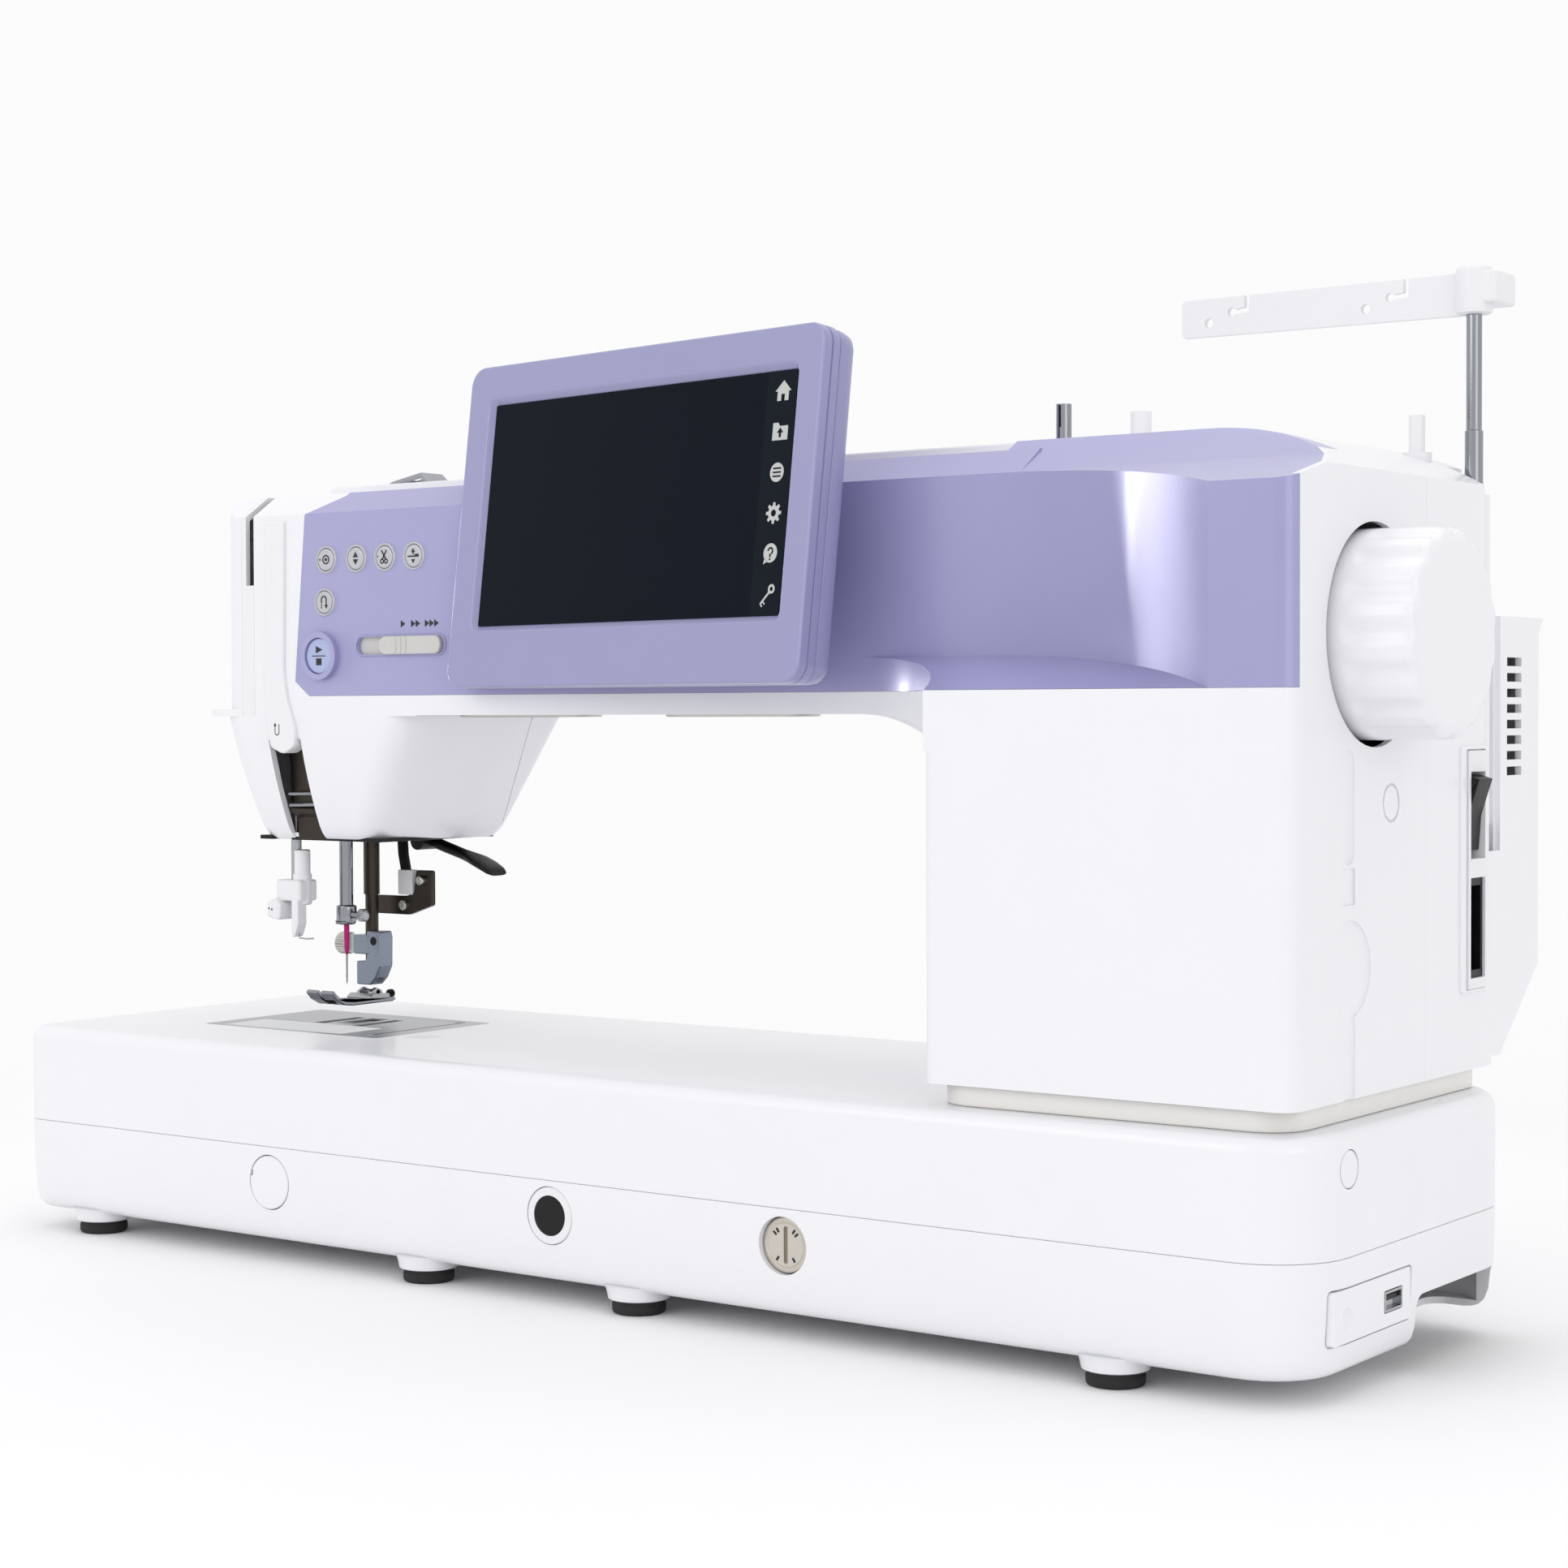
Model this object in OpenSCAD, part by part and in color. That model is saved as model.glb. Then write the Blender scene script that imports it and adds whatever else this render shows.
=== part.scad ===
// Long-bed computerised sewing machine with a touch screen.
// Bench frame used inside the modules: x from the bed's left end, y from the bed's front face
// towards the back, z up from the floor. The module bench() moves it to the part's own origin,
// which is the middle of the bounding box at floor level.

/* [Bed] */
// Length of the bed
bed_length = 640; // [636:1:642]
// Depth of the bed
bed_depth = 178; // [177:1:180]
// Height of the seam between the two bed shells
bed_seam = 49.8; // [49:0.1:51]
// Height of the sewing surface
bed_top = 92.1; // [92:0.1:92.4]
// Height of the rubber feet
foot_height = 5.5; // [4:0.5:7]

/* [Arm and tower] */
// Height of the arm's underside
arm_bottom = 232; // [231:0.5:233]
// Height of the arm's flat top edge
arm_top = 330; // [329:0.5:331]
// Front face of the arm
arm_front = 50; // [49.8:0.1:50.2]
// Back face of the arm
arm_back = 150; // [149:0.5:152]
// Left face of the tower
tower_left = 485; // [484:0.5:486]
// Right face of the tower
tower_right = 631; // [631:0.5:633]
// Front face of the tower
tower_front = 6; // [5:0.5:7]
// Rearmost point, the lip of the rear cover
rear_lip = 222; // [221:0.5:226]
// Thickness of the moulded covers
wall = 2.5; // [2.2:0.1:2.6]

/* [Drive] */
// Depth of the main shaft's axis behind the bed's front face
shaft_y = 70; // [69.5:0.1:70.5]
// Height of the main shaft's axis
shaft_z = 259; // [258.5:0.1:259.5]
// Radius of the handwheel
wheel_radius = 36.5; // [35:0.5:37]
// Outer face of the handwheel
wheel_face = 661; // [659:0.5:664]
// Number of grip flutes on the handwheel
wheel_flutes = 16; // [14:1:18]

/* [Needle and foot] */
// Sideways place of the needle
needle_x = 117.8; // [117.5:0.1:118]
// Depth of the needle
needle_y = 88.6; // [88.4:0.1:88.8]
// Depth of the presser bar
presser_y = 105; // [104.8:0.1:105.2]

/* [Screen] */
// Width of the display glass
screen_w = 180.5; // [178:0.5:182]
// Height of the display glass
screen_h = 92.3; // [90:0.5:94]
// Turn of the screen towards the needle, in degrees
screen_turn = 10.1; // [9:0.1:10.5]
// Backward tilt of the screen, in degrees
screen_tilt = 6.7; // [6:0.1:7.5]

/* [Hidden] */
$fn = 64;

origin_x = wheel_face / 2;
origin_y = rear_lip / 2;
gap = 0.1;                 // clearance round fitted covers
fit = 0.05;                // radial clearance of a running fit
shell_bottom = 9.4;        // underside of the bed
tower_back = 178;          // back face of the tower's upper body
tower_base = 100;          // lower edge of the tower's covers
head_left = 72;            // left end of the arm
split_y = 112;             // parting plane of the front and rear covers
bed_corner_left = 12;
bed_corner_right = 30;
foot_xs = [38, 237, 348, 560];
foot_ys = [14, 164];
plate_x = [65, 173];       // needle plate, left and right edges
plate_y = [50, 125];
cover_x = [74, 148];       // bobbin cover
cover_y = [54, 81];
hook_x = 112;              // axis of the rotary hook
hook_y = 71;
low_y = 89.3;              // axis of the lower shaft
low_z = 48;
motor_y = 130;             // axis of the motor
motor_z = 150;
big_pulley_r = 30;
motor_pulley_r = 8;
timing_r = 14;
shaft_r = 5;
crank_r = 15;              // half of the needle bar's stroke
swing_z = 312;             // pivot of the needle bar support
needle_bar_r = 3.1;
presser_bar_r = 3.7;
crease_z = 320.5;          // edge between the arm's front and its sloping top
seam_z = 240.5;            // lower edge of the coloured band
ledge_z = 253.5;           // upper edge of the sloping ledge under the concave part
head_corner = 22;          // radius of the head's left corners in plan
gusset_left = 428;         // blend between arm and tower under the ledge
gusset_r = 60.2;
scoop_r = 172.3;           // radius of the concave sweep in plan
fillet_r = 56;             // radius of the throat's upper right corner
dome_r = 130;              // radius of the rounded tower top
dome_x = 565;
dome_top = 334;
mast_x = 623.5;
mast_y = 172;
mast_r = 3.4;
spool_pin_at = [606, 160];
winder_at = [482.7, 110];
button_r = 4.9;
button_z = 300;
button_xs = [145.2, 163.3, 180.3, 197.4];
reverse_at = [144, 281.5];  // reverse button, in x and z
start_at = [141.7, 258];    // start and stop button
start_r = 7.9;
slide_z = 262;              // middle of the speed slider's slot
slide_half = 4;
dial_x = 427.2;
knee_x = 314.3;
front_hole_z = 36;         // height of the knee socket and the dial
plug_x = 158.4;
plug_z = 34.7;

// ---- helpers ----
module bench() translate([-origin_x, -origin_y, 0]) children();
module block(a, b) translate(a) cube(b - a);
module rod_x(x1, x2, y, z, r) translate([x1, y, z]) rotate([0, 90, 0]) cylinder(h = x2 - x1, r = r);
module rod_y(y1, y2, x, z, r) translate([x, y2, z]) rotate([90, 0, 0]) cylinder(h = y2 - y1, r = r);
module rod_z(z1, z2, x, y, r) translate([x, y, z1]) cylinder(h = z2 - z1, r = r);
// an outline in x and y raised from z1 to z2
module plan(z1, z2) translate([0, 0, z1]) linear_extrude(z2 - z1) children();
// an outline in x and z run from y1 to y2
module front(y1, y2) translate([0, y2, 0]) rotate([90, 0, 0]) linear_extrude(y2 - y1) children();
// an outline in y and z run from x1 to x2
module side(x1, x2) translate([x1, 0, 0]) rotate([90, 0, 90]) linear_extrude(x2 - x1) children();
module rect(a, b) translate(a) square(b - a);
// rectangle with its left and right corners rounded to rl and rr
module rounded(a, b, rl, rr) {
    rect([a.x + rl, a.y], [b.x - rr, b.y]);
    rect([a.x, a.y + rl], [a.x + rl + 1, b.y - rl]);
    rect([b.x - rr - 1, a.y + rr], [b.x, b.y - rr]);
    for (y = [a.y + rl, b.y - rl]) translate([a.x + rl, y]) circle(rl);
    for (y = [a.y + rr, b.y - rr]) translate([b.x - rr, y]) circle(rr);
}
// closed outline of a belt round two pulleys
module belt_outline(c1, r1, c2, r2) {
    d = c2 - c1;
    turn = atan2(d.y, d.x);
    open = acos((r1 - r2) / norm(d));
    function at(c, r, a) = c + r * [cos(a), sin(a)];
    translate(c1) circle(r1);
    translate(c2) circle(r2);
    polygon([at(c1, r1, turn + open), at(c2, r2, turn + open), at(c2, r2, turn - open),
        at(c1, r1, turn - open)]);
}
module belt(x1, x2, c1, r1, c2, r2, t) difference() {
    side(x1, x2) belt_outline(c1, r1 + t, c2, r2 + t);
    side(x1 - 1, x2 + 1) belt_outline(c1, r1, c2, r2);
}
// gear blank with n teeth, along z from 0 to h
module gear(r, h, n, tooth = 1) linear_extrude(h) polygon([
    for (i = [0 : n - 1])
        for (corner = [[-0.36, r - tooth], [-0.18, r], [0.18, r], [0.36, r - tooth]])
            corner[1] * [cos((i + corner[0]) * 360 / n), sin((i + corner[0]) * 360 / n)]]);

// ---- bed ----
module bed_block(t, z1, z2) plan(z1, z2)
    rounded([t, t], [bed_length - t, bed_depth - t], bed_corner_left - t, bed_corner_right - t);

grip_box = [[612, 88, 6], [bed_length + 1, 163, 27]];   // hand recess under the right end

module bottom_cover() bench() color("white") difference() {
    union() {
        difference() {
            bed_block(0, shell_bottom, bed_seam);
            bed_block(wall, shell_bottom + wall, bed_seam + 1);
        }
        for (x = foot_xs, y = foot_ys) rod_z(foot_height, shell_bottom + 1, x, y, 12.5);
        rod_y(1, 30, knee_x, front_hole_z, 12);
        rod_y(1, 16, dial_x, front_hole_z, 14);
        block(grip_box[0] + [-wall, -wall, 4], [bed_length - 1, 163 + wall, 27 + wall]);
    }
    block(grip_box[0], grip_box[1]);
    rod_y(-1, 4, plug_x, plug_z, 11.6);
    rod_y(-1, 31, knee_x, front_hole_z, 9 + fit);
    rod_y(-1, 9.3, dial_x, front_hole_z, 10.8);
    rod_y(9, 17, dial_x, front_hole_z, 3 + fit);
    block([bed_length - 4, 19, 21], [bed_length + 1, 80.5, 39.7]);
}

// block over the needle plate's outline, grown sideways by g
module plate_block(g, z1, z2)
    block([plate_x[0] - g, plate_y[0] - g, z1], [plate_x[1] + g, plate_y[1] + g, z2]);
module bed_cover() bench() color("white") difference() {
    union() {
        difference() {
            bed_block(0, bed_seam + fit, bed_top);
            bed_block(wall, bed_seam - 1, bed_top - wall);
        }
        // ledge that carries the needle plate
        difference() {
            plate_block(4, bed_top - 5, bed_top - 2);
            plate_block(-3, bed_top - 6, bed_top);
        }
    }
    plate_block(0, bed_top - 1.7, bed_top + 1);
    plate_block(-3, bed_top - 6, bed_top);
    block([180 - gap, 60 - gap, bed_top - 4], [192 + gap, 72 + gap, bed_top + 1]);
    block([493, 28, bed_top - 4], [608, 150, bed_top + 1]);
    rod_x(bed_length - 4, bed_length + 1, 31, 79.5, 6.7);
}

module rubber_feet() bench() color("black")
    for (x = foot_xs, y = foot_ys) rod_z(0, foot_height, x, y, 10.5);

module hole_plugs() bench() color("white") {
    rod_y(0.3, 3, plug_x, plug_z, 11.5);
    rod_x(bed_length - 3, bed_length - 0.3, 31, 79.5, 6.6);
}

module knee_socket() bench() color("black") difference() {
    union() {
        rod_y(1.2, 29.5, knee_x, front_hole_z, 9);
        rod_y(30.1, 33, knee_x, front_hole_z, 11.5);
        rod_y(29, 31, knee_x, front_hole_z, 8);
    }
    rod_y(0, 25, knee_x, front_hole_z, 6.1);
}

module feed_dial() bench() color("silver") difference() {
    union() {
        rod_y(2.4, 9, dial_x, front_hole_z, 10.6);
        rod_y(8, 24, dial_x, front_hole_z, 3);
        rod_y(17, 19, dial_x, front_hole_z, 6);
    }
    block([dial_x - 0.9, 2, front_hole_z - 9], [dial_x + 0.9, 4.2, front_hole_z + 9]);
}

module usb_panel() bench() color("whitesmoke") difference() {
    block([bed_length - 3.5, 19 + gap, 21 + gap], [bed_length - 0.2, 80.5 - gap, 39.7 - gap]);
    block([bed_length - 5, 59, 26.5], [bed_length, 73, 33.5]);
    rod_x(bed_length - 1, bed_length + 1, 30, 29, 4);
}

module needle_plate() bench() color("silver") difference() {
    plate_block(-gap, bed_top - 1.6, bed_top);
    block([cover_x[0] - gap, cover_y[0] - gap, bed_top - 3],
        [cover_x[1] + gap, cover_y[1] + gap, bed_top + 1]);
    block([needle_x - 5.8, needle_y - 1.2, bed_top - 3], [needle_x + 5.8, needle_y + 1.2, bed_top + 1]);
    for (x = [103, 126.6]) block([x, 82.2, bed_top - 3], [x + 6, 110, bed_top + 1]);
    block([112.2, 91, bed_top - 3], [123.4, 110, bed_top + 1]);
    for (y = [58, 118]) rod_z(bed_top - 3, bed_top + 1, 160, y, 2.4);
}

module bobbin_cover() bench() color("lightgray", 0.6) block([cover_x[0], cover_y[0], bed_top - 1.6],
    [cover_x[1], cover_y[1], bed_top]);

module plate_release_key() bench() color("white") {
    block([180, 60, bed_top - 3], [192, 72, bed_top]);
    block([183, 63, bed_top - 9], [189, 69, bed_top - 3]);
}

module feed_dogs() bench() color("silver") {
    difference() {
        block([103, 87, 84.8], [133, 124, 86.5]);
        block([109.6, 82, 84], [126, 93.2, 87]);
    }
    for (x = [104, 127.6], i = [0 : 7]) side(x, x + 4) feed_tooth(88 + 2.2 * i);
    for (i = [0 : 5]) side(113.4, 122.2) feed_tooth(94 + 2.2 * i);
}
// one tooth of the feed dogs, rising towards the front
module feed_tooth(y) polygon([[y, 86], [y, 91.4], [y + 2.2, 90.4], [y + 2.2, 86]]);

module feed_bar() bench() color("gray") {
    block([98, 108, 76], [138, 123, 84.4]);
    block([114, 112, 66], [122, 119, 77]);
}

module rotary_hook() bench() color("silver") translate([hook_x, hook_y, 0]) {
    difference() {
        translate([0, 0, 60]) cylinder(h = 22, r = 16.8);
        translate([0, 0, 64]) cylinder(h = 20, r = 15.2);
        // point of the hook
        rotate(40) translate([14, -3, 74]) cube([6, 16, 10]);
    }
    translate([0, 0, 28]) cylinder(h = 33, r = 4);
    translate([0, 0, 42]) gear(6, 12, 14);
}

module bobbin_case() bench() color("dimgray") translate([hook_x, hook_y, 0]) difference() {
    union() {
        translate([0, 0, 65]) cylinder(h = 18.5, r = 14.5);
        translate([-21, -5, 83]) cube([42, 6, 2]);
    }
    translate([0, 0, 69]) cylinder(h = 20, r = 11.4);
}

module bobbin() bench() color("lightblue", 0.6) translate([hook_x, hook_y, 0]) difference() {
    union() {
        translate([0, 0, 69.4]) cylinder(h = 1.2, r = 10.3);
        translate([0, 0, 70]) cylinder(h = 11, r = 5.4);
        translate([0, 0, 80.6]) cylinder(h = 1.2, r = 10.3);
    }
    translate([0, 0, 69]) cylinder(h = 14, r = 3);
}

// ---- frame and drive ----
module machine_frame() bench() color("lightslategray") difference() {
    union() {
        block([34, 24, 18], [600, 154, 24]);
        for (x = [150, 350, 550]) block([x - 6, 78, 24], [x + 6, 100, 62]);
        block([hook_x - 10, hook_y - 10, 24], [hook_x + 10, hook_y + 6, 40]);
        block([495, 100, 24], [512, 145, 322]);
        block([108, 118, 264], [512, 140, 322]);
        block([104, 118, 184], [134, 140, 266]);
        for (x = [180, 350, 540]) {
            block([x - 5, 60, shaft_z - 9], [x + 5, 118.5, shaft_z + 9]);
            block([x - 5, 112, shaft_z - 9], [x + 5, 140, 270]);
        }
        block([512, 100, shaft_z - 9], [545, 118.5, shaft_z + 9]);
        for (z = [188, 284]) block([needle_x - 9, presser_y - 8, z], [needle_x + 9, 118.5, z + 8]);
        rod_y(84, 118.5, needle_x, swing_z, 3);
        rod_x(95, 108.5, 124, 300, 2.5);
    }
    for (x = [150, 350, 550]) rod_x(x - 7, x + 7, low_y, low_z, 4 + fit);
    for (x = [180, 350, 540]) rod_x(x - 6, x + 6, shaft_y, shaft_z, shaft_r + fit);
    rod_z(26, 46, hook_x, hook_y, 4 + fit);
    for (z = [188, 284]) rod_z(z - 1, z + 9, needle_x, presser_y, presser_bar_r + fit);
}

module lower_shaft() bench() color("silver") {
    rod_x(104, 584, low_y, low_z, 4);
    translate([106, low_y, low_z]) rotate([0, 90, 0]) gear(11.7, 12, 28);
    translate([570, low_y, low_z]) rotate([0, 90, 0]) gear(timing_r, 10, 24);
}

module drive_belts() bench() color("black") {
    belt(571, 579, [shaft_y, shaft_z], timing_r + 0.3, [low_y, low_z], timing_r + 0.3, 1.8);
    belt(593, 601, [shaft_y, shaft_z], big_pulley_r + 0.3, [motor_y, motor_z], motor_pulley_r + 0.3, 1.8);
}

module main_shaft() bench() color("silver") {
    rod_x(127, 650, shaft_y, shaft_z, shaft_r);
    translate([570, shaft_y, shaft_z]) rotate([0, 90, 0]) gear(timing_r, 10, 24);
    translate([592, shaft_y, shaft_z]) rotate([0, 90, 0]) gear(big_pulley_r, 10, 48);
    rod_x(125.5, 130, shaft_y, shaft_z, 17.3);
    rod_x(121.8, 126, shaft_y, shaft_z + crank_r, 1.8);
}

module handwheel() bench() color("white") difference() {
    union() {
        difference() {
            rod_x(622, wheel_face, shaft_y, shaft_z, wheel_radius);
            rod_x(621, wheel_face - 5, shaft_y, shaft_z, wheel_radius - 4);
        }
        rod_x(618, wheel_face - 2, shaft_y, shaft_z, 10);
    }
    rod_x(617, 650.2, shaft_y, shaft_z, shaft_r + fit);
    for (i = [0 : wheel_flutes - 1])
        translate([642, shaft_y, shaft_z]) rotate([360 / wheel_flutes * i, 0, 0])
            translate([0, 0, wheel_radius + 4.2]) rotate([0, 90, 0]) cylinder(h = 25, r = 5.4);
}

module motor() bench() color("dimgray") {
    rod_x(518, 582, motor_y, motor_z, 22);
    rod_x(582, 585, motor_y, motor_z, 10);
    block([530, motor_y - 12, motor_z - 28], [570, motor_y + 12, motor_z - 15]);
}

module motor_pulley() bench() color("silver") {
    rod_x(585.3, 593, motor_y, motor_z, 2.5);
    translate([592, motor_y, motor_z]) rotate([0, 90, 0]) gear(motor_pulley_r, 10, 14);
}

module control_board() bench() color("seagreen") {
    block([522, 162, 186], [602, 163.6, 262]);
    for (x = [530, 552, 574]) block([x, 154, 200], [x + 14, 162.1, 222]);
}

// ---- arm, tower and head covers ----
// prism of the arm, inset by t
module arm_body(t) intersection() {
    k = 0.6 * t;
    side(head_left + t, 500) polygon([[arm_front + t, arm_bottom + t], [arm_back - t, arm_bottom + t],
        [arm_back - t, crease_z - k], [142 - k, arm_top - t], [64 + k, arm_top - t],
        [arm_front + t, crease_z - k]]);
    plan(200, 340) rounded([head_left + t, arm_front + t], [520, arm_back - t], head_corner - t, 6);
}
// space above the sloping ledge of the front, grown down by t
module above_ledge(t) side(400, 680) polygon([[-38, seam_z - 13 - t], [arm_front, ledge_z - t],
    [arm_front + 10, ledge_z - t], [arm_front + 10, 400], [-38, 400]]);
// space in front of the recessed part of the tower, grown by t
module scoop(t) intersection() {
    union() {
        translate([tower_left, arm_front - scoop_r, 200]) cylinder(h = 200, r = scoop_r + t, $fn = 128);
        block([400, -30, 200], [tower_left, arm_front + t, 400]);
    }
    above_ledge(t);
}
// sloping front edge of the tower's top, cut from the tower, grown down by t
module top_bevel(t) side(480, 700) polygon([[-10, crease_z - 15 - t], [arm_front, crease_z - t],
    [72, dome_top - t], [72, 400], [-10, 400]]);
module tower_body(t) difference() {
    intersection() {
        plan(tower_base - 1, 360)
            rounded([tower_left + t, tower_front + t], [tower_right - t, tower_back - t], 5 - t, 8 - t);
        front(-1, 230) {
            rect([400, tower_base - 1], [dome_x, dome_top - t]);
            rect([400, tower_base - 1], [700, 250]);
            translate([dome_x, dome_top - dome_r]) circle(dome_r - t, $fn = 128);
        }
        block([0, 0, tower_base], [700, 300, 400]);
    }
    scoop(t);
    top_bevel(t);
}
// blend between the arm's front and the tower's front, under the ledge, inset by t
module gusset(t) difference() {
    intersection() {
        plan(200, 260) difference() {
            rect([gusset_left, tower_front + t], [tower_left + 6, arm_front + 8]);
            translate([gusset_left, arm_front - gusset_r]) circle(gusset_r + t, $fn = 96);
        }
        front(0, 70) difference() {
            rect([gusset_left - 5, 200], [tower_left + 8, 260]);
            translate([gusset_left, arm_bottom - 136]) circle(136 + t, $fn = 128);
        }
    }
    above_ledge(t);
}
// large fillet between the arm's underside and the tower, inset by t
module throat_fillet(t) front(arm_front + t, arm_back - t) difference() {
    rect([tower_left - fillet_r, arm_bottom - fillet_r], [tower_left + 5, arm_bottom + 5]);
    translate([tower_left - fillet_r, arm_bottom - fillet_r]) circle(fillet_r + t, $fn = 128);
}
// bulge of the rear cover that holds the motor and the electronics, inset by t
module rear_bulge(t) side(497 + t, tower_right - t) polygon([[150, tower_base + 3 + t],
    [180 - t, tower_base + 3 + t], [217 - t, 135 + t], [217 - t, 262 - t], [rear_lip - t, 268 - t],
    [150, 268 - t]]);
// lower part of the head round the needle bar, inset by t
module head_lower(t) intersection() {
    front(40, 160) polygon([[head_left + t, arm_bottom + 3], [198 - t, arm_bottom + 3],
        [198 - t, arm_bottom - 1], [167 - t, 176 - 3 * t], [84 + t, 176 - 3 * t]]);
    side(60, 210) polygon([[arm_front + t, arm_bottom + 3], [arm_front + t, arm_bottom - 6],
        [62 + t, 176 - 3 * t], [142 - t, 176 - 3 * t], [arm_back - t, arm_bottom - 6],
        [arm_back - t, arm_bottom + 3]]);
}
module covers_solid(t) {
    arm_body(t);
    tower_body(t);
    gusset(t);
    throat_fillet(t);
    rear_bulge(t);
    head_lower(t);
}
module covers_shell() difference() {
    covers_solid(0);
    covers_solid(wall);
    block([head_left + 10, 62, arm_bottom - 4], [166, 138, arm_bottom + 4]);
    block([tower_left + wall, tower_front + wall, tower_base - 2],
        [tower_right - wall, tower_back - wall, tower_base + 2]);
}
// prism that bounds the coloured band on the front, inset by t
module band_outline(t) front(-5, 72 - t) polygon([[134, seam_z + t], [tower_right + 9, seam_z + t],
    [tower_right + 9, 309 - t], [603 - t, 331.5], [604, 345], [146, 345], [146 + t, 328.5],
    [132 + t, 320], [125.5 + t, 247]]);
// right wall of the tower, which the coloured band doesn't cover, grown by t
module side_wall(t) block([tower_right - wall - 1 - t, 12 - t, 200], [tower_right + 9, 100, 345]);
module fascia_zone(t) difference() {
    band_outline(t);
    side_wall(t);
}
top_opening = [[122, 76, 320], [600, 144, 345]];
// outline of the two work lights under the arm, inset by t
light_r = 11;
module light_outline(t) for (x = [205, 318])
    rounded([x + t, 77 - light_r + t], [x + 68 - t, 77 + light_r - t], light_r - 1 - t, light_r - 1 - t);

module front_cover() bench() color("white") difference() {
    covers_shell();
    block([0, split_y - fit, 90], [700, 300, 400]);
    block([0, -10, 90], [100 + fit, 200, 400]);
    fascia_zone(0);
    block(top_opening[0], top_opening[1]);
    rod_x(600, 640, shaft_y, shaft_z, wheel_radius + 2.5);
    plan(arm_bottom - 1, arm_bottom + wall + 2) light_outline(0);
}

module rear_cover() bench() color("white") difference() {
    union() {
        difference() {
            covers_shell();
            block([616, 164.5, 180], [640, 179.5, 345]);
        }
        rod_z(190, 313, mast_x, mast_y, 6);
        block([612, 162, 188], [623, 178, 318]);
        block([612, 178, 178], [629, 181, 267]);
    }
    block([0, -10, 90], [700, split_y + fit, 400]);
    block([0, -10, 90], [92 + fit, 200, 400]);
    block(top_opening[0], top_opening[1]);
    rod_x(600, 640, shaft_y, shaft_z, wheel_radius + 2.5);
    block([620, 146, 130], [640, 163, 218]);
    rod_z(194, 345, mast_x, mast_y, mast_r + fit);
    rod_z(315, 345, spool_pin_at.x, spool_pin_at.y, 5.6);
    for (i = [0 : 7]) block([620, 186, 208 + 5.9 * i], [640, 200, 211.3 + 5.9 * i]);
    for (i = [0 : 9]) block([520 + 8 * i, 205, 150], [524 + 8 * i, 230, 200]);
}

module face_cover() bench() color("white") difference() {
    covers_shell();
    block([92 - fit, -10, 90], [700, 300, 400]);
}

module thread_channel() bench() color("whitesmoke") difference() {
    covers_shell();
    block([100 - fit, -10, 90], [700, 300, 400]);
    block([0, -10, 90], [92 + fit, 300, 400]);
    block([0, split_y - fit, 90], [700, 300, 400]);
    block([95, 40, 290], [99.9, 80, 345]);
}

module fascia() bench() color([0.66, 0.65, 0.83]) difference() {
    union() {
        intersection() {
            covers_shell();
            fascia_zone(gap);
        }
        rod_y(47.6, arm_front + 1, start_at.x, start_at.y, start_r + 2.6);
    }
    block([0, -10, 90], [100 + fit, 200, 400]);
    rod_y(40, 60, start_at.x, start_at.y, start_r + gap);
    for (x = button_xs) rod_y(40, 60, x, button_z, button_r + gap);
    rod_y(40, 60, reverse_at.x, reverse_at.y, button_r + gap);
    front(40, 60) rounded([164, slide_z - slide_half], [214, slide_z + slide_half], 3.9, 3.9);
}

module top_cover() bench() color("white") difference() {
    block([top_opening[0].x + gap, top_opening[0].y + gap, arm_top - wall],
        [top_opening[1].x - gap, top_opening[1].y - gap, dome_top]);
    front(60, 160) difference() {
        rect([dome_x, 300], [700, 360]);
        translate([dome_x, dome_top - dome_r]) circle(dome_r, $fn = 128);
    }
    rod_z(320, 340, winder_at.x, winder_at.y, 3);
    front(95, 125) rect([120, arm_top], [165, 340]);
}

module work_light_lenses() bench() color("gainsboro", 0.7)
    plan(arm_bottom + 0.2, arm_bottom + 3) light_outline(gap);

module tower_plinth() bench() color("gainsboro") plan(bed_top + fit, tower_base - fit) difference() {
    rounded([tower_left + 1, tower_front + 4], [tower_right - 3, tower_back - 4], 16, 16);
    rounded([tower_left + 5, tower_front + 8], [tower_right - 7, tower_back - 8], 12, 12);
}

// ---- screen, in its own frame with the glass's lower left corner at the origin ----
glass_corner = [242.2, 40, 269];
module at_screen() translate(glass_corner) rotate([0, 0, -screen_turn]) rotate([-screen_tilt, 0, 0])
    children();
// the arm's volume, kept clear of the screen's parts
module behind_fascia() block([190, arm_front - fit, 200], [500, 200, arm_top + 1]);
module screen_bezel() bench() color([0.66, 0.67, 0.86]) difference() {
    at_screen() difference() {
        front(-1.5, 7.5) rounded([-16.3, -25.6], [screen_w + 15, screen_h + 16.7], 7, 7);
        front(-3, 1.8) rect([0, 0], [screen_w, screen_h]);
    }
    behind_fascia();
}
module screen_glass() bench() color([0.09, 0.11, 0.14]) at_screen()
    block([gap, 0, gap], [screen_w - gap, 1.7, screen_h - gap]);
module screen_housing() bench() color([0.66, 0.67, 0.86]) difference() {
    union() {
        at_screen() front(7.6, 18.5) rounded([-14.8, -24.1], [screen_w + 13.5, screen_h + 15.2], 7, 7);
        block([262, 22, 262], [402, arm_front - fit, 316]);
    }
    at_screen() front(-20, 7.6) rect([-40, -40], [220, 140]);
    behind_fascia();
}

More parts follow.
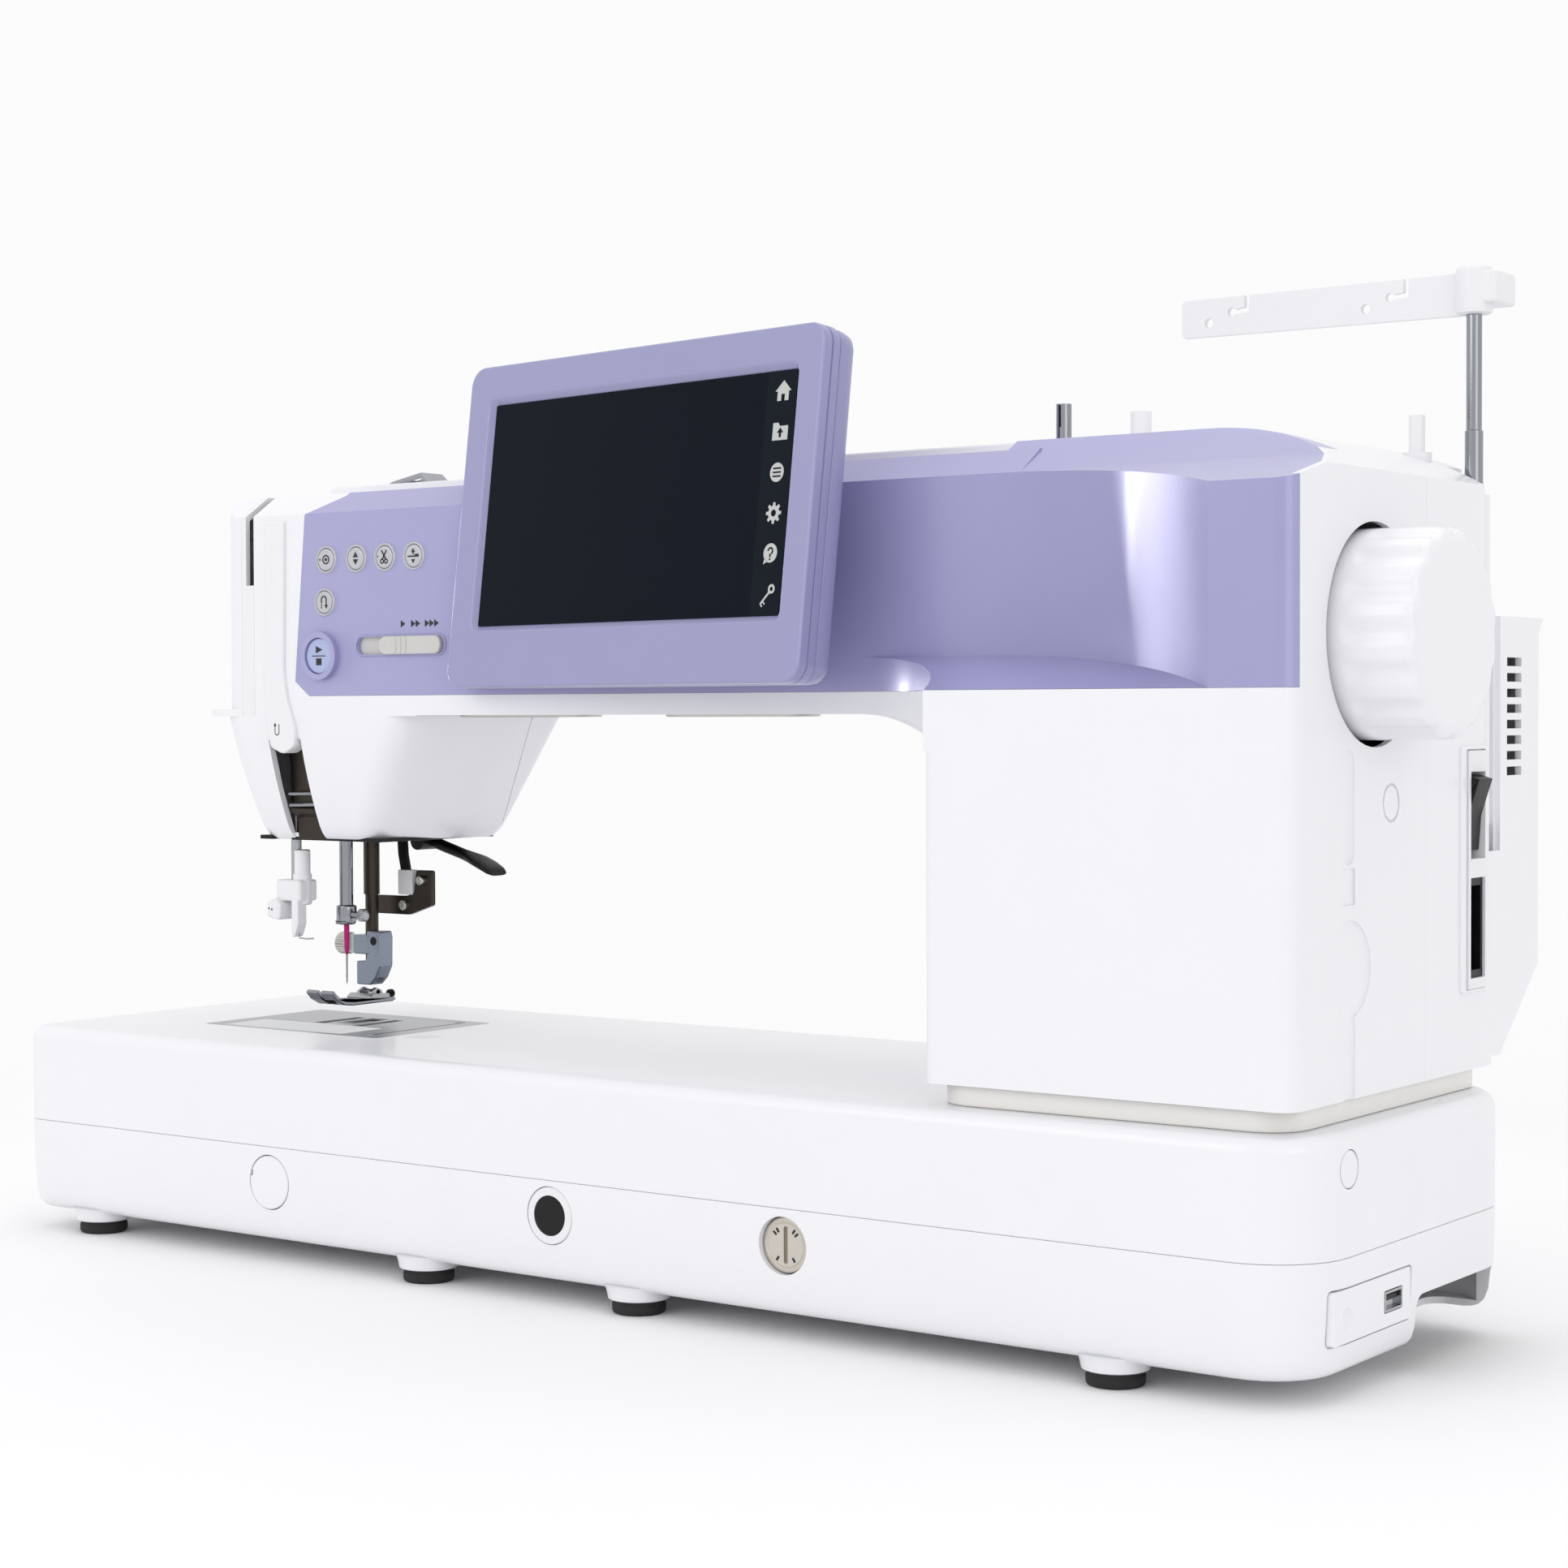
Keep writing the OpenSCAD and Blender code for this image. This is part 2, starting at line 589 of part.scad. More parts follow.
// ---- right side fittings ----
module switch_panel() bench() color("whitesmoke") difference() {
    block([626, 146 + gap, 130 + gap], [633, 163 - gap, 218 - gap]);
    block([620, 148, 178], [640, 161, 210]);
    block([620, 148, 134], [640, 161, 171]);
}
rocker_at = [628, 194];     // pivot of the rocker, in x and z
module power_switch() bench() color("black") difference() {
    front(148.3, 160.7) translate(rocker_at)
        polygon([[0, -13], [2.6, -13], [3.6, 0], [8, 13.4], [3, 15], [-2, 10], [-3, 0]]);
    rod_y(140, 170, rocker_at.x, rocker_at.y, 1.6 + fit);
}
module power_inlet() bench() color("black") {
    difference() {
        block([622, 148 + gap, 134 + gap], [632, 161 - gap, 171 - gap]);
        block([624, 150, 137], [640, 159, 168]);
    }
    for (z = [144, 152, 160]) block([623.5, 153.5, z], [630, 155.5, z + 1.5]);
}

// ---- head ----
module head_bottom_plate() bench() color("silver") difference() {
    block([88, 64, 176.2], [163, 138, 178]);
    block([needle_x - 9, needle_y - 5, 170], [needle_x + 9, needle_y + 5, 190]);
    rod_z(170, 190, needle_x, presser_y, presser_bar_r + 0.4);
    block([96, 62, 170], [108, 80, 190]);
    block([130, 112, 170], [164, 132, 190]);
}
module needle_support() bench() color("silver") difference() {
    union() {
        block([102, 83.5, 203], [108, 93.5, 320]);
        block([102, 83.5, 203], [125.5, 93.5, 210]);
        block([102, 83.5, 282], [125.5, 93.5, 289]);
        block([102, 84.5, 303], [125.5, 93.5, 320]);
    }
    for (z = [203, 282]) rod_z(z - 1, z + 8, needle_x, needle_y, needle_bar_r + fit);
    rod_y(80, 96, needle_x, swing_z, 3 + fit);
}
module needle_bar() bench() color("silver") {
    rod_z(143, 297, needle_x, needle_y, needle_bar_r);
    rod_z(137, 146, needle_x, needle_y, 4.8);
    rod_x(needle_x + 4, needle_x + 10, needle_y, 141.5, 2.6);
    rod_x(needle_x + 10, needle_x + 12.5, needle_y, 141.5, 3.4);
}
module needle() bench() color("silver") {
    rod_z(127, 136.95, needle_x, needle_y, 1);
    rod_z(114, 127, needle_x, needle_y, 0.45);
    translate([needle_x, needle_y, 109.6]) cylinder(h = 4.4, r1 = 0.1, r2 = 0.45);
}
module presser_bar() bench() color("dimgray") {
    rod_z(150, 296, needle_x, presser_y, presser_bar_r);
    rod_z(118, 150, needle_x, presser_y, 3);
    block([needle_x - 7, presser_y - 5, 240], [needle_x + 7, presser_y + 5, 248]);
}
module foot_holder() bench() color("lightslategray") {
    difference() {
        block([needle_x - 9.5, presser_y - 6, 117], [needle_x + 9.5, presser_y + 4, 133]);
        rod_z(110, 140, needle_x, presser_y, 3.05);
        block([needle_x - 5, presser_y - 8, 110], [needle_x + 5, presser_y - 3, 128]);
    }
    for (x = [needle_x - 8, needle_x + 5]) block([x, presser_y - 6, 103.5], [x + 3, presser_y + 4, 118]);
    rod_x(needle_x - 18.5, needle_x - 12, presser_y - 1, 127, 5.2);
    rod_x(needle_x - 12.5, needle_x - 9, presser_y - 1, 127, 2.2);
}
foot_pin = [96, 106.5];     // depth and height of the foot's pivot pin
module presser_foot() bench() color("silver") difference() {
    union() {
        side(needle_x - 8.5, needle_x + 8.5) polygon([[71, 106.8], [74, 103.6], [79, 101.2], [84, 100.7],
            [110, 100.7], [112, 102], [112, 102.7], [84, 102.7], [79, 103.4], [75, 105.4], [72, 108.2]]);
        for (x = [needle_x - 4.6, needle_x + 1.6])
            block([x, 98.2, 102.5], [x + 3, 107, 106]);
        rod_x(needle_x - 4.7, needle_x + 4.7, 104, 105.2, 1.6);
    }
    block([needle_x - 5.8, 83, 99], [needle_x + 5.8, 92, 104]);
    block([needle_x - 1.2, 60, 99], [needle_x + 1.2, 84, 112]);
}
module presser_lifter() bench() color("black") {
    rod_y(113, 127, 138, 174.5, 4.2);
    translate([138, 119, 174.5]) rotate([0, 14, 0]) block([0, 0, -3.4], [46, 7, 2.6]);
    translate([138, 119, 174.5]) rotate([0, 14, 0]) block([40, -6, -4.6], [50, 8, 1.8]);
}
module needle_threader() bench() color("white") {
    rod_z(150, 215, 103, 72, 2.4);
    block([95, 66, 148], [110.5, 78.5, 158]);
    block([92, 64, 140], [99, 76, 148.1]);
    block([105, 66, 132], [109.5, 72, 148.1]);
}
module dual_feed_bracket() bench() color("dimgray") {
    block([108, 114.5, 140], [146, 117.5, 149]);
    block([134, 114.5, 148], [146, 117.5, 161]);
    block([123, 114.5, 148], [129, 117.5, 176.1]);
    for (p = [[140, 156], [129.5, 144.5]]) rod_y(111.5, 114.6, p.x, p.y, 2.2);
}
module take_up_lever() bench() color("silver") difference() {
    union() {
        rod_x(96, 99, 124, 300, 6);
        translate([96, 124, 300]) rotate([-16, 0, 0]) block([0, -62, -3], [3, 0, 3]);
    }
    rod_x(90, 100, 124, 300, 2.5 + fit);
}

// ---- controls ----
module button(x, z) bench() color("silver") rod_y(49.3, 54, x, z, button_r);
module lock_button() button(button_xs[0], button_z);
module needle_button() button(button_xs[1], button_z);
module cutter_button() button(button_xs[2], button_z);
module foot_button() button(button_xs[3], button_z);
module reverse_button() button(reverse_at.x, reverse_at.y);
module start_stop_button() bench() color([0.7, 0.72, 0.86])
    rod_y(48.4, 53, start_at.x, start_at.y, start_r);
module speed_slider() bench() color("gainsboro") {
    front(48.8, 53) rounded([178, slide_z - slide_half + gap], [214 - gap, slide_z + slide_half - gap],
        3.8, 3.8);
    for (x = [187, 191, 195]) front(47.8, 49) rect([x, slide_z - 3.4], [x + 1.6, slide_z + 3.4]);
}

// ---- mast and top ----
module mast_pole() bench() color("silver") rod_z(256, 384, mast_x, mast_y, mast_r);
module mast_guide() bench() color("white") {
    difference() {
        union() {
            rod_z(382, 398.7, mast_x, mast_y, 7);
            block([501, mast_y - 1.4, 380], [619, mast_y + 1.4, 396.5]);
            block([617, mast_y - 5, 384], [634, mast_y + 16, 396]);
        }
        rod_z(380, 384.05, mast_x, mast_y, mast_r + fit);
        for (x = [511, 581]) rod_y(mast_y - 3, mast_y + 3, x, 386, 1.6);
        for (x = [520, 590]) {
            rod_y(mast_y - 3, mast_y + 3, x, 391, 2.2);
            block([x, mast_y - 3, 390.4], [x + 9, mast_y + 3, 391.6]);
            block([x + 7.5, mast_y - 3, 391], [x + 9, mast_y + 3, 398]);
        }
    }
}
module top_fittings() bench() color("white") {
    rod_z(325, 329, spool_pin_at.x, spool_pin_at.y, 5.5);
    rod_z(329, 343, spool_pin_at.x, spool_pin_at.y, 3);
    rod_z(dome_top, 336, 516.5, 110, 9);
    rod_z(336, 346, 516.5, 110, 4);
    rod_z(dome_top, 336.4, 552, 110, 3.2);
}
module winder_spindle() bench() color("dimgray") difference() {
    union() {
        rod_z(322, dome_top + 1, winder_at.x, winder_at.y, 2.6);
        rod_z(dome_top + 0.2, 337.5, winder_at.x, winder_at.y, 5);
        rod_z(337.5, 351, winder_at.x, winder_at.y, 3);
    }
    block([winder_at.x - 0.5, 100, 342], [winder_at.x + 0.5, 120, 352]);
}
module top_thread_guide() bench() color("silver") difference() {
    front(102, 116) polygon([[122, arm_top], [136, 336], [152, 339], [158, 333.5], [158, arm_top],
        [161, arm_top], [161, 334.5], [153, 341], [135, 337.6], [121, arm_top + 1.2]]);
    block([140, 105, 325], [150, 113, 345]);
}

bottom_cover();
bed_cover();
rubber_feet();
machine_frame();
hole_plugs();
knee_socket();
feed_dial();
usb_panel();
needle_plate();
bobbin_cover();
plate_release_key();
feed_dogs();
feed_bar();
rotary_hook();
bobbin_case();
bobbin();
lower_shaft();
drive_belts();
main_shaft();
handwheel();
motor();
motor_pulley();
control_board();
tower_plinth();
front_cover();
rear_cover();
face_cover();
thread_channel();
fascia();
top_cover();
work_light_lenses();
screen_bezel();
screen_housing();
screen_glass();
switch_panel();
power_switch();
power_inlet();
head_bottom_plate();
needle_support();
needle_bar();
needle();
presser_bar();
foot_holder();
presser_foot();
presser_lifter();
needle_threader();
dual_feed_bracket();
take_up_lever();
lock_button();
needle_button();
cutter_button();
foot_button();
reverse_button();
start_stop_button();
speed_slider();
mast_pole();
mast_guide();
top_fittings();
winder_spindle();
top_thread_guide();
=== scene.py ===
import math

import bmesh
import bpy
from mathutils import Matrix, Vector


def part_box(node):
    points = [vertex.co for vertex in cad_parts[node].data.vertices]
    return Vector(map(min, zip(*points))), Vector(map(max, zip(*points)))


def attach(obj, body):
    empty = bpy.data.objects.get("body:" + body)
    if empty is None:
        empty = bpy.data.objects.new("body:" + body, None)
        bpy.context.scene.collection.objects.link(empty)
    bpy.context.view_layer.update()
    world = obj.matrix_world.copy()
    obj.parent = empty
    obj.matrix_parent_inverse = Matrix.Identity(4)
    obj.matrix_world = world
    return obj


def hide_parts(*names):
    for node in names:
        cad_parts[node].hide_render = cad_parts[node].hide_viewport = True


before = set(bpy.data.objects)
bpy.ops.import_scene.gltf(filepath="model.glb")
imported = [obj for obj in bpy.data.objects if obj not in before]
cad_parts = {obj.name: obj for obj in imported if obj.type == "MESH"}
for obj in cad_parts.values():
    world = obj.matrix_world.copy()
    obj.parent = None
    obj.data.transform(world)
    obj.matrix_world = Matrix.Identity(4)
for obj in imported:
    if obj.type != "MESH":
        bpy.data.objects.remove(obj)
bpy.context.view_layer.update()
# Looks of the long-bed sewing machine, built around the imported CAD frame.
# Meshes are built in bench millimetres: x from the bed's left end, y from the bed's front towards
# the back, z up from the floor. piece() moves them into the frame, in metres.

MM = 0.001
BED_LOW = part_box("bottom_cover")[0]
ORIGIN = Vector((BED_LOW.x, BED_LOW.y, 0))
TO_FRAME = Matrix.Translation(ORIGIN) @ Matrix.Scale(MM, 4)
SCENE = bpy.context.scene


def bench(node):
    """(lowest, highest) corner of a CAD node, in bench millimetres."""
    low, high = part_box(node)
    return (low - ORIGIN) / MM, (high - ORIGIN) / MM


def at(x, y, z):
    """A bench point in the frame's metres."""
    return TO_FRAME @ Vector((x, y, z))


# ---------------- places from the frame
BED_LID, BED = bench("bed_cover")
BED_SEAM = BED_LID.z
SHELL_BOTTOM = 9.4
WHEEL_LOW, WHEEL_HIGH = bench("handwheel")
WHEEL_Y = (WHEEL_LOW.y + WHEEL_HIGH.y) / 2
WHEEL_Z = (WHEEL_LOW.z + WHEEL_HIGH.z) / 2
WHEEL_R = (WHEEL_HIGH.z - WHEEL_LOW.z) / 2
TOWER_RIGHT = 631
ARM_FRONT = 50
MAST = (623.5, 172)
NEEDLE_X = 117.8
NEEDLE_Y = 88.6
NEEDLE = (NEEDLE_X, NEEDLE_Y)
LEVER_PIVOT = (138, 174.5)
FOOT_PIN = (104, 105.2)
HOLDER_BORE = (123.4, 128.8)
CLAMP_SCREW = (NEEDLE_Y, 141.5)


# ---------------- outlines
MITRE = 0.4         # least cosine of half a corner
SAME_POINT = 1e-4   # points closer than this are one


def arc(centre, radius, first, last, steps):
    """Points of an arc, angles in degrees."""
    angles = [math.radians(first + (last - first) * i / steps) for i in range(steps + 1)]
    return [Vector((centre[0] + radius * math.cos(a), centre[1] + radius * math.sin(a))) for a in angles]


def circle(centre, radius, steps=32):
    return arc(centre, radius, 0, 360, steps)[:-1]


def rounded(points, radius, steps=4):
    """The polygon, anticlockwise, with arcs at its corners. radius is one number or one a corner."""
    radii = radius if isinstance(radius, (list, tuple)) else [radius] * len(points)
    outline = []
    for i, corner in enumerate(points):
        here = Vector(corner)
        last = (Vector(points[i - 1]) - here).normalized()
        following = (Vector(points[(i + 1) % len(points)]) - here).normalized()
        half = last.angle(following) / 2
        if radii[i] <= 0:
            outline.append(here)
            continue
        centre = here + (last + following).normalized() * radii[i] / math.sin(half)
        start = here + last * radii[i] / math.tan(half) - centre
        turn = math.pi - 2 * half
        if last.cross(following) > 0:
            turn = -turn
        for k in range(steps + 1):
            outline.append(centre + Matrix.Rotation(turn * k / steps, 2) @ start)
    return [p for i, p in enumerate(outline) if (p - outline[i - 1]).length > SAME_POINT]


def box_outline(low, high, radius=0, steps=4):
    corners = [(low[0], low[1]), (high[0], low[1]), (high[0], high[1]), (low[0], high[1])]
    return rounded(corners, radius, steps)


def inset(outline, distance):
    """The outline moved inwards by distance. Sharp corners move no further than MITRE allows."""
    if not distance:
        return outline
    result = []
    for i, here in enumerate(outline):
        before = (here - outline[i - 1]).normalized()
        after = (outline[(i + 1) % len(outline)] - here).normalized()
        inward = Vector((-before.y - after.y, before.x + after.x)).normalized()
        cosine = max(inward.dot(Vector((-before.y, before.x))), MITRE)
        result.append(here + inward * distance / cosine)
    return result


def put(outline, axis, place):
    """The flat outline as points in space, across the named axis."""
    if axis == "x":
        return [Vector((place, p[0], p[1])) for p in outline]
    if axis == "y":
        return [Vector((p[0], place, p[1])) for p in outline]
    return [Vector((p[0], p[1], place)) for p in outline]


# ---------------- meshes
THINNEST = 0.01     # radius at the tip of a turned part
BEVEL_ROWS = 2
SHARP = 35          # degrees between faces from which an edge is sharp
EASED = 0.3         # rounding of a kept CAD node's edges
NODE_WELD = 1e-5    # metres
CAD_WELD = 0.005


def to_mesh(shape, name="part"):
    mesh = bpy.data.meshes.new(name)
    shape.to_mesh(mesh)
    shape.free()
    return mesh


def finish_mesh(shape):
    bmesh.ops.remove_doubles(shape, verts=shape.verts, dist=SAME_POINT)
    bmesh.ops.recalc_face_normals(shape, faces=shape.faces)
    return to_mesh(shape)


def loft(rings, closed=False):
    """Skin over rings of the same number of points. An open skin gets end caps."""
    shape = bmesh.new()
    rows = [[shape.verts.new(p) for p in ring] for ring in rings]
    pairs = list(zip(rows, rows[1:] + rows[:1])) if closed else list(zip(rows, rows[1:]))
    for low, high in pairs:
        for i in range(len(low)):
            shape.faces.new((low[i - 1], low[i], high[i], high[i - 1]))
    if not closed:
        shape.faces.new(rows[0])
        shape.faces.new(rows[-1])
    return finish_mesh(shape)


def prism(outline, axis, low, high):
    return loft([put(outline, axis, low), put(outline, axis, high)])


def box_prism(low, high, radius, axis, start, end):
    """Block between two corners across the axis, with rounded edges along it."""
    return prism(box_outline(low, high, radius), axis, start, end)


def pillow(outline, axis, low, high, round_low=0.0, round_high=0.0, steps=4):
    """Prism whose rims are rounded."""
    rings = []
    for k in range(steps + 1 if round_low else 1):
        angle = math.pi / 2 * k / steps if round_low else math.pi / 2
        rings.append((low + round_low * (1 - math.cos(angle)), round_low * (1 - math.sin(angle))))
    for k in range(steps + 1 if round_high else 1):
        angle = math.pi / 2 * k / steps
        rings.append((high - round_high * (1 - math.sin(angle)), round_high * (1 - math.cos(angle))))
    return loft([put(inset(outline, d), axis, place) for place, d in rings])


def turned(profile, axis, centre, steps=48, closed=False):
    """Turned part: profile lists (place along the axis, radius)."""
    rings = [put(circle(centre, max(radius, THINNEST), steps), axis, place) for place, radius in profile]
    return loft(rings, closed)


def tube(path, radius, steps=16):
    """Round bar along a path. radius is one number or one a point."""
    points = [Vector(p) for p in path]
    radii = radius if isinstance(radius, (list, tuple)) else [radius] * len(points)
    side = Vector((0, 0, 1))
    rings = []
    for i, here in enumerate(points):
        ahead = (points[min(i + 1, len(points) - 1)] - points[max(i - 1, 0)]).normalized()
        if abs(ahead.dot(side)) > 0.95:
            side = Vector((1, 0, 0))
        side = (side - ahead * side.dot(ahead)).normalized()
        other = ahead.cross(side)
        rings.append([here + (side * p.x + other * p.y) for p in circle((0, 0), radii[i], steps)])
    return loft(rings)


def joined(*meshes):
    shape = bmesh.new()
    for mesh in meshes:
        shape.from_mesh(mesh)
    return to_mesh(shape)


def moved(mesh, matrix):
    mesh.transform(matrix)
    return mesh


def placed(name, data):
    """New object in the scene."""
    target = bpy.data.objects.new(name, data)
    SCENE.collection.objects.link(target)
    return target


def combine(mesh, other, operation):
    """Exact boolean of two meshes."""
    target = placed("target", mesh)
    tool = placed("tool", other)
    modifier = target.modifiers.new("combine", "BOOLEAN")
    modifier.operation = operation
    modifier.solver = "EXACT"
    modifier.object = tool
    result = evaluated(target)
    bpy.data.objects.remove(tool)
    return result


def evaluated(target):
    """The mesh with the object's modifiers applied; the object is removed."""
    graph = bpy.context.evaluated_depsgraph_get()
    mesh = bpy.data.meshes.new_from_object(target.evaluated_get(graph))
    bpy.data.objects.remove(target)
    return mesh


def cut(mesh, *tools):
    for tool in tools:
        mesh = combine(mesh, tool, "DIFFERENCE")
    return mesh


def fused(mesh, *others):
    for other in others:
        mesh = combine(mesh, other, "UNION")
    return mesh


def bevelled(mesh, width):
    """The mesh with its sharp edges rounded by three rows of faces."""
    target = placed("bevelled", mesh)
    add_bevel(target, width, 3, 30)
    return evaluated(target)


def add_bevel(target, width, segments, limit):
    modifier = target.modifiers.new("bevel", "BEVEL")
    modifier.width = width
    modifier.segments = segments
    modifier.limit_method = "ANGLE"
    modifier.angle_limit = math.radians(limit)
    modifier.use_clamp_overlap = True
    modifier.miter_outer = "MITER_ARC"


def piece(name, mesh, material, body="machine", stands_for=(), bevel=0.0, limit=SHARP):
    """Puts a mesh in the frame as a piece that rides on a body."""
    mesh.transform(TO_FRAME)
    mesh.materials.clear()
    mesh.materials.append(MATERIALS[material])
    for polygon in mesh.polygons:
        polygon.material_index = 0
    mesh.shade_smooth()
    target = placed(name, mesh)
    if bevel:
        add_bevel(target, bevel * MM, BEVEL_ROWS, limit)
    else:
        mesh.set_sharp_from_angle(angle=math.radians(limit))
    weighted = target.modifiers.new("normals", "WEIGHTED_NORMAL")
    weighted.keep_sharp = not bevel
    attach(target, body)
    if stands_for:
        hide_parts(*([stands_for] if isinstance(stands_for, str) else stands_for))
    return target


def keep(node, material, bevel):
    """A CAD node stays, with its edges eased and its own material."""
    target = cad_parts[node]
    target.data.materials.clear()
    target.data.materials.append(MATERIALS[material])
    weld = target.modifiers.new("weld", "WELD")
    weld.merge_threshold = NODE_WELD
    add_bevel(target, bevel * MM, BEVEL_ROWS, SHARP)
    target.modifiers.new("normals", "WEIGHTED_NORMAL")


# ---------------- materials
RELIEF_DEPTH = 0.0004
LEAST_ROUGHNESS = 0.03


def linear(colour):
    """sRGB 0..255 as the linear colour that shaders take."""
    values = [c / 255 for c in colour]
    return [v / 12.92 if v <= 0.04045 else ((v + 0.055) / 1.055) ** 2.4 for v in values] + [1]


def new_node(nodes, kind, inputs):
    """Shader node of a kind, with its inputs set."""
    node = nodes.new("ShaderNode" + kind)
    for socket, value in inputs.items():
        node.inputs[socket].default_value = value
    return node


def node_material(name, colour, vary=0.03, roughness=0.4, rough_vary=0.08, scale=40, bump=0.02,
                  grain=900, metallic=0.0, stretch=(1, 1, 1), shader_values=None):
    """Principled material: broad tone drift, a fine grain in the gloss and a shallow relief."""
    material = bpy.data.materials.new(name)
    material.use_nodes = True
    nodes = material.node_tree.nodes
    links = material.node_tree.links
    shader = nodes["Principled BSDF"]
    shader.inputs["Metallic"].default_value = metallic
    for socket, value in (shader_values or {}).items():
        shader.inputs[socket].default_value = value
    place = nodes.new("ShaderNodeTexCoord")
    mapping = new_node(nodes, "Mapping", {"Scale": stretch})
    links.new(place.outputs["Object"], mapping.inputs["Vector"])
    broad = new_node(nodes, "TexNoise", {"Scale": scale, "Detail": 3})
    fine = new_node(nodes, "TexNoise", {"Scale": grain, "Detail": 4})
    for texture in (broad, fine):
        links.new(mapping.outputs["Vector"], texture.inputs["Vector"])
    tone = nodes.new("ShaderNodeMix")
    tone.data_type = "RGBA"
    base = linear(colour)
    tone.inputs[6].default_value = [c * (1 - vary) for c in base[:3]] + [1]
    tone.inputs[7].default_value = [min(c * (1 + vary), 1) for c in base[:3]] + [1]
    links.new(broad.outputs["Fac"], tone.inputs["Factor"])
    links.new(tone.outputs[2], shader.inputs["Base Color"])
    gloss = new_node(nodes, "MapRange", {"To Min": max(roughness - rough_vary, LEAST_ROUGHNESS),
            "To Max": min(roughness + rough_vary, 1)})
    links.new(fine.outputs["Fac"], gloss.inputs["Value"])
    links.new(gloss.outputs["Result"], shader.inputs["Roughness"])
    relief = new_node(nodes, "Bump", {"Strength": bump, "Distance": RELIEF_DEPTH})
    links.new(fine.outputs["Fac"], relief.inputs["Height"])
    links.new(relief.outputs["Normal"], shader.inputs["Normal"])
    return material


def recipe(colour, vary, roughness, bump, **more):
    return dict(colour=colour, vary=vary, roughness=roughness, bump=bump, **more)


COAT = {"Coat Weight": 0.35, "Coat Roughness": 0.12}
SATIN = {"Coat Weight": 0.15, "Coat Roughness": 0.3}
DIM_GLASS = {"Specular IOR Level": 0.07}
RECIPES = {
    "white_gloss": recipe((236, 236, 240), 0.012, 0.34, 0.03, shader_values=COAT),
    "white_satin": recipe((233, 233, 236), 0.015, 0.45, 0.04, shader_values=SATIN),
    "warm_grey": recipe((235, 233, 229), 0.015, 0.45, 0.04, shader_values=SATIN),
    "lavender": recipe((153, 151, 193), 0.03, 0.31, 0.03, rough_vary=0.05,
                     metallic=0.08, shader_values=COAT),
    "pale_lavender": recipe((150, 149, 189), 0.02, 0.34, 0.012, metallic=0.1,
                          shader_values=COAT),
    "rubber": recipe((32, 32, 34), 0.1, 0.75, 0.25, grain=1600),
    "black_plastic": recipe((17, 17, 19), 0.08, 0.36, 0.05,
                          shader_values={"Specular IOR Level": 0.25}),
    "cast_metal": recipe((120, 122, 124), 0.08, 0.6, 0.5, grain=1400, metallic=0.8),
    "steel": recipe((176, 177, 180), 0.04, 0.27, 0.05, metallic=1.0,
                  stretch=(1, 1, 6)),
    "brushed_steel": recipe((164, 165, 170), 0.04, 0.3, 0.1, metallic=1.0,
                          stretch=(1, 12, 1)),
    "chrome": recipe((152, 154, 160), 0.02, 0.1, 0.02, rough_vary=0.03,
                   metallic=1.0),
    "gunmetal": recipe((66, 60, 54), 0.06, 0.32, 0.06, metallic=0.9,
                     stretch=(1, 1, 6)),
    "blue_steel": recipe((138, 147, 160), 0.05, 0.3, 0.06, metallic=0.9),
    "dial_metal": recipe((206, 200, 190), 0.05, 0.32, 0.1, metallic=0.9,
                       stretch=(14, 1, 1)),
    "magenta": recipe((180, 20, 110), 0.04, 0.35, 0.03, metallic=0.4),
    "screen_glass": recipe((8, 14, 26), 0.08, 0.12, 0.01, rough_vary=0.03,
                         shader_values=DIM_GLASS),
    "screen_strip": recipe((14, 24, 31), 0.06, 0.14, 0.01, rough_vary=0.03,
                         shader_values=DIM_GLASS),
    "icon_grey": recipe((190, 192, 190), 0.02, 0.3, 0.02),
    "icon_dark": recipe((30, 29, 38), 0.04, 0.5, 0.02),
    "clear_plastic": recipe((226, 228, 232), 0.01, 0.1, 0.02, rough_vary=0.03,
                          shader_values={"Transmission Weight": 0.45, "IOR": 1.49}),
    "button_silver": recipe((192, 192, 198), 0.03, 0.34, 0.05, metallic=0.35,
                          shader_values=SATIN),
    "start_blue": recipe((172, 182, 220), 0.03, 0.3, 0.04, metallic=0.2,
                       shader_values=COAT),
    "slider_grey": recipe((200, 198, 196), 0.03, 0.42, 0.05, shader_values=SATIN),
    "board_green": recipe((28, 84, 58), 0.12, 0.4, 0.15, grain=500),
    "motor_dark": recipe((52, 54, 58), 0.08, 0.5, 0.2, metallic=0.5),
    "zinc": recipe((196, 197, 190), 0.05, 0.3, 0.06, metallic=1.0),
    # grey for the gap of the bed seam: painted shade of the shadowed joint
    "painted_seam_shade": recipe((140, 140, 146), 0.05, 0.7, 0.05),
}
MATERIALS = {name: node_material(name, **recipe) for name, recipe in RECIPES.items()}


# ---------------- bed
BED_OUTLINE = rounded([(0, 0), (BED.x, 0), (BED.x, BED.y), (0, BED.y)], [12, 30, 30, 12], 8)
KNEE = (314.3, 36)
DIAL = (427.2, 36)
FRONT_PLUG = (158.4, 34.7)
SIDE_PLUG = (31, 79.5)
FEET = [(x, y) for x in (38, 237, 348, 560) for y in (14, 164)]
WALL = 2.5
COLUMN = ((493, 28), (608, 150))


def disc_cutter(centre, radius, axis, low, high):
    return turned([(low, radius), (high, radius)], axis, centre)


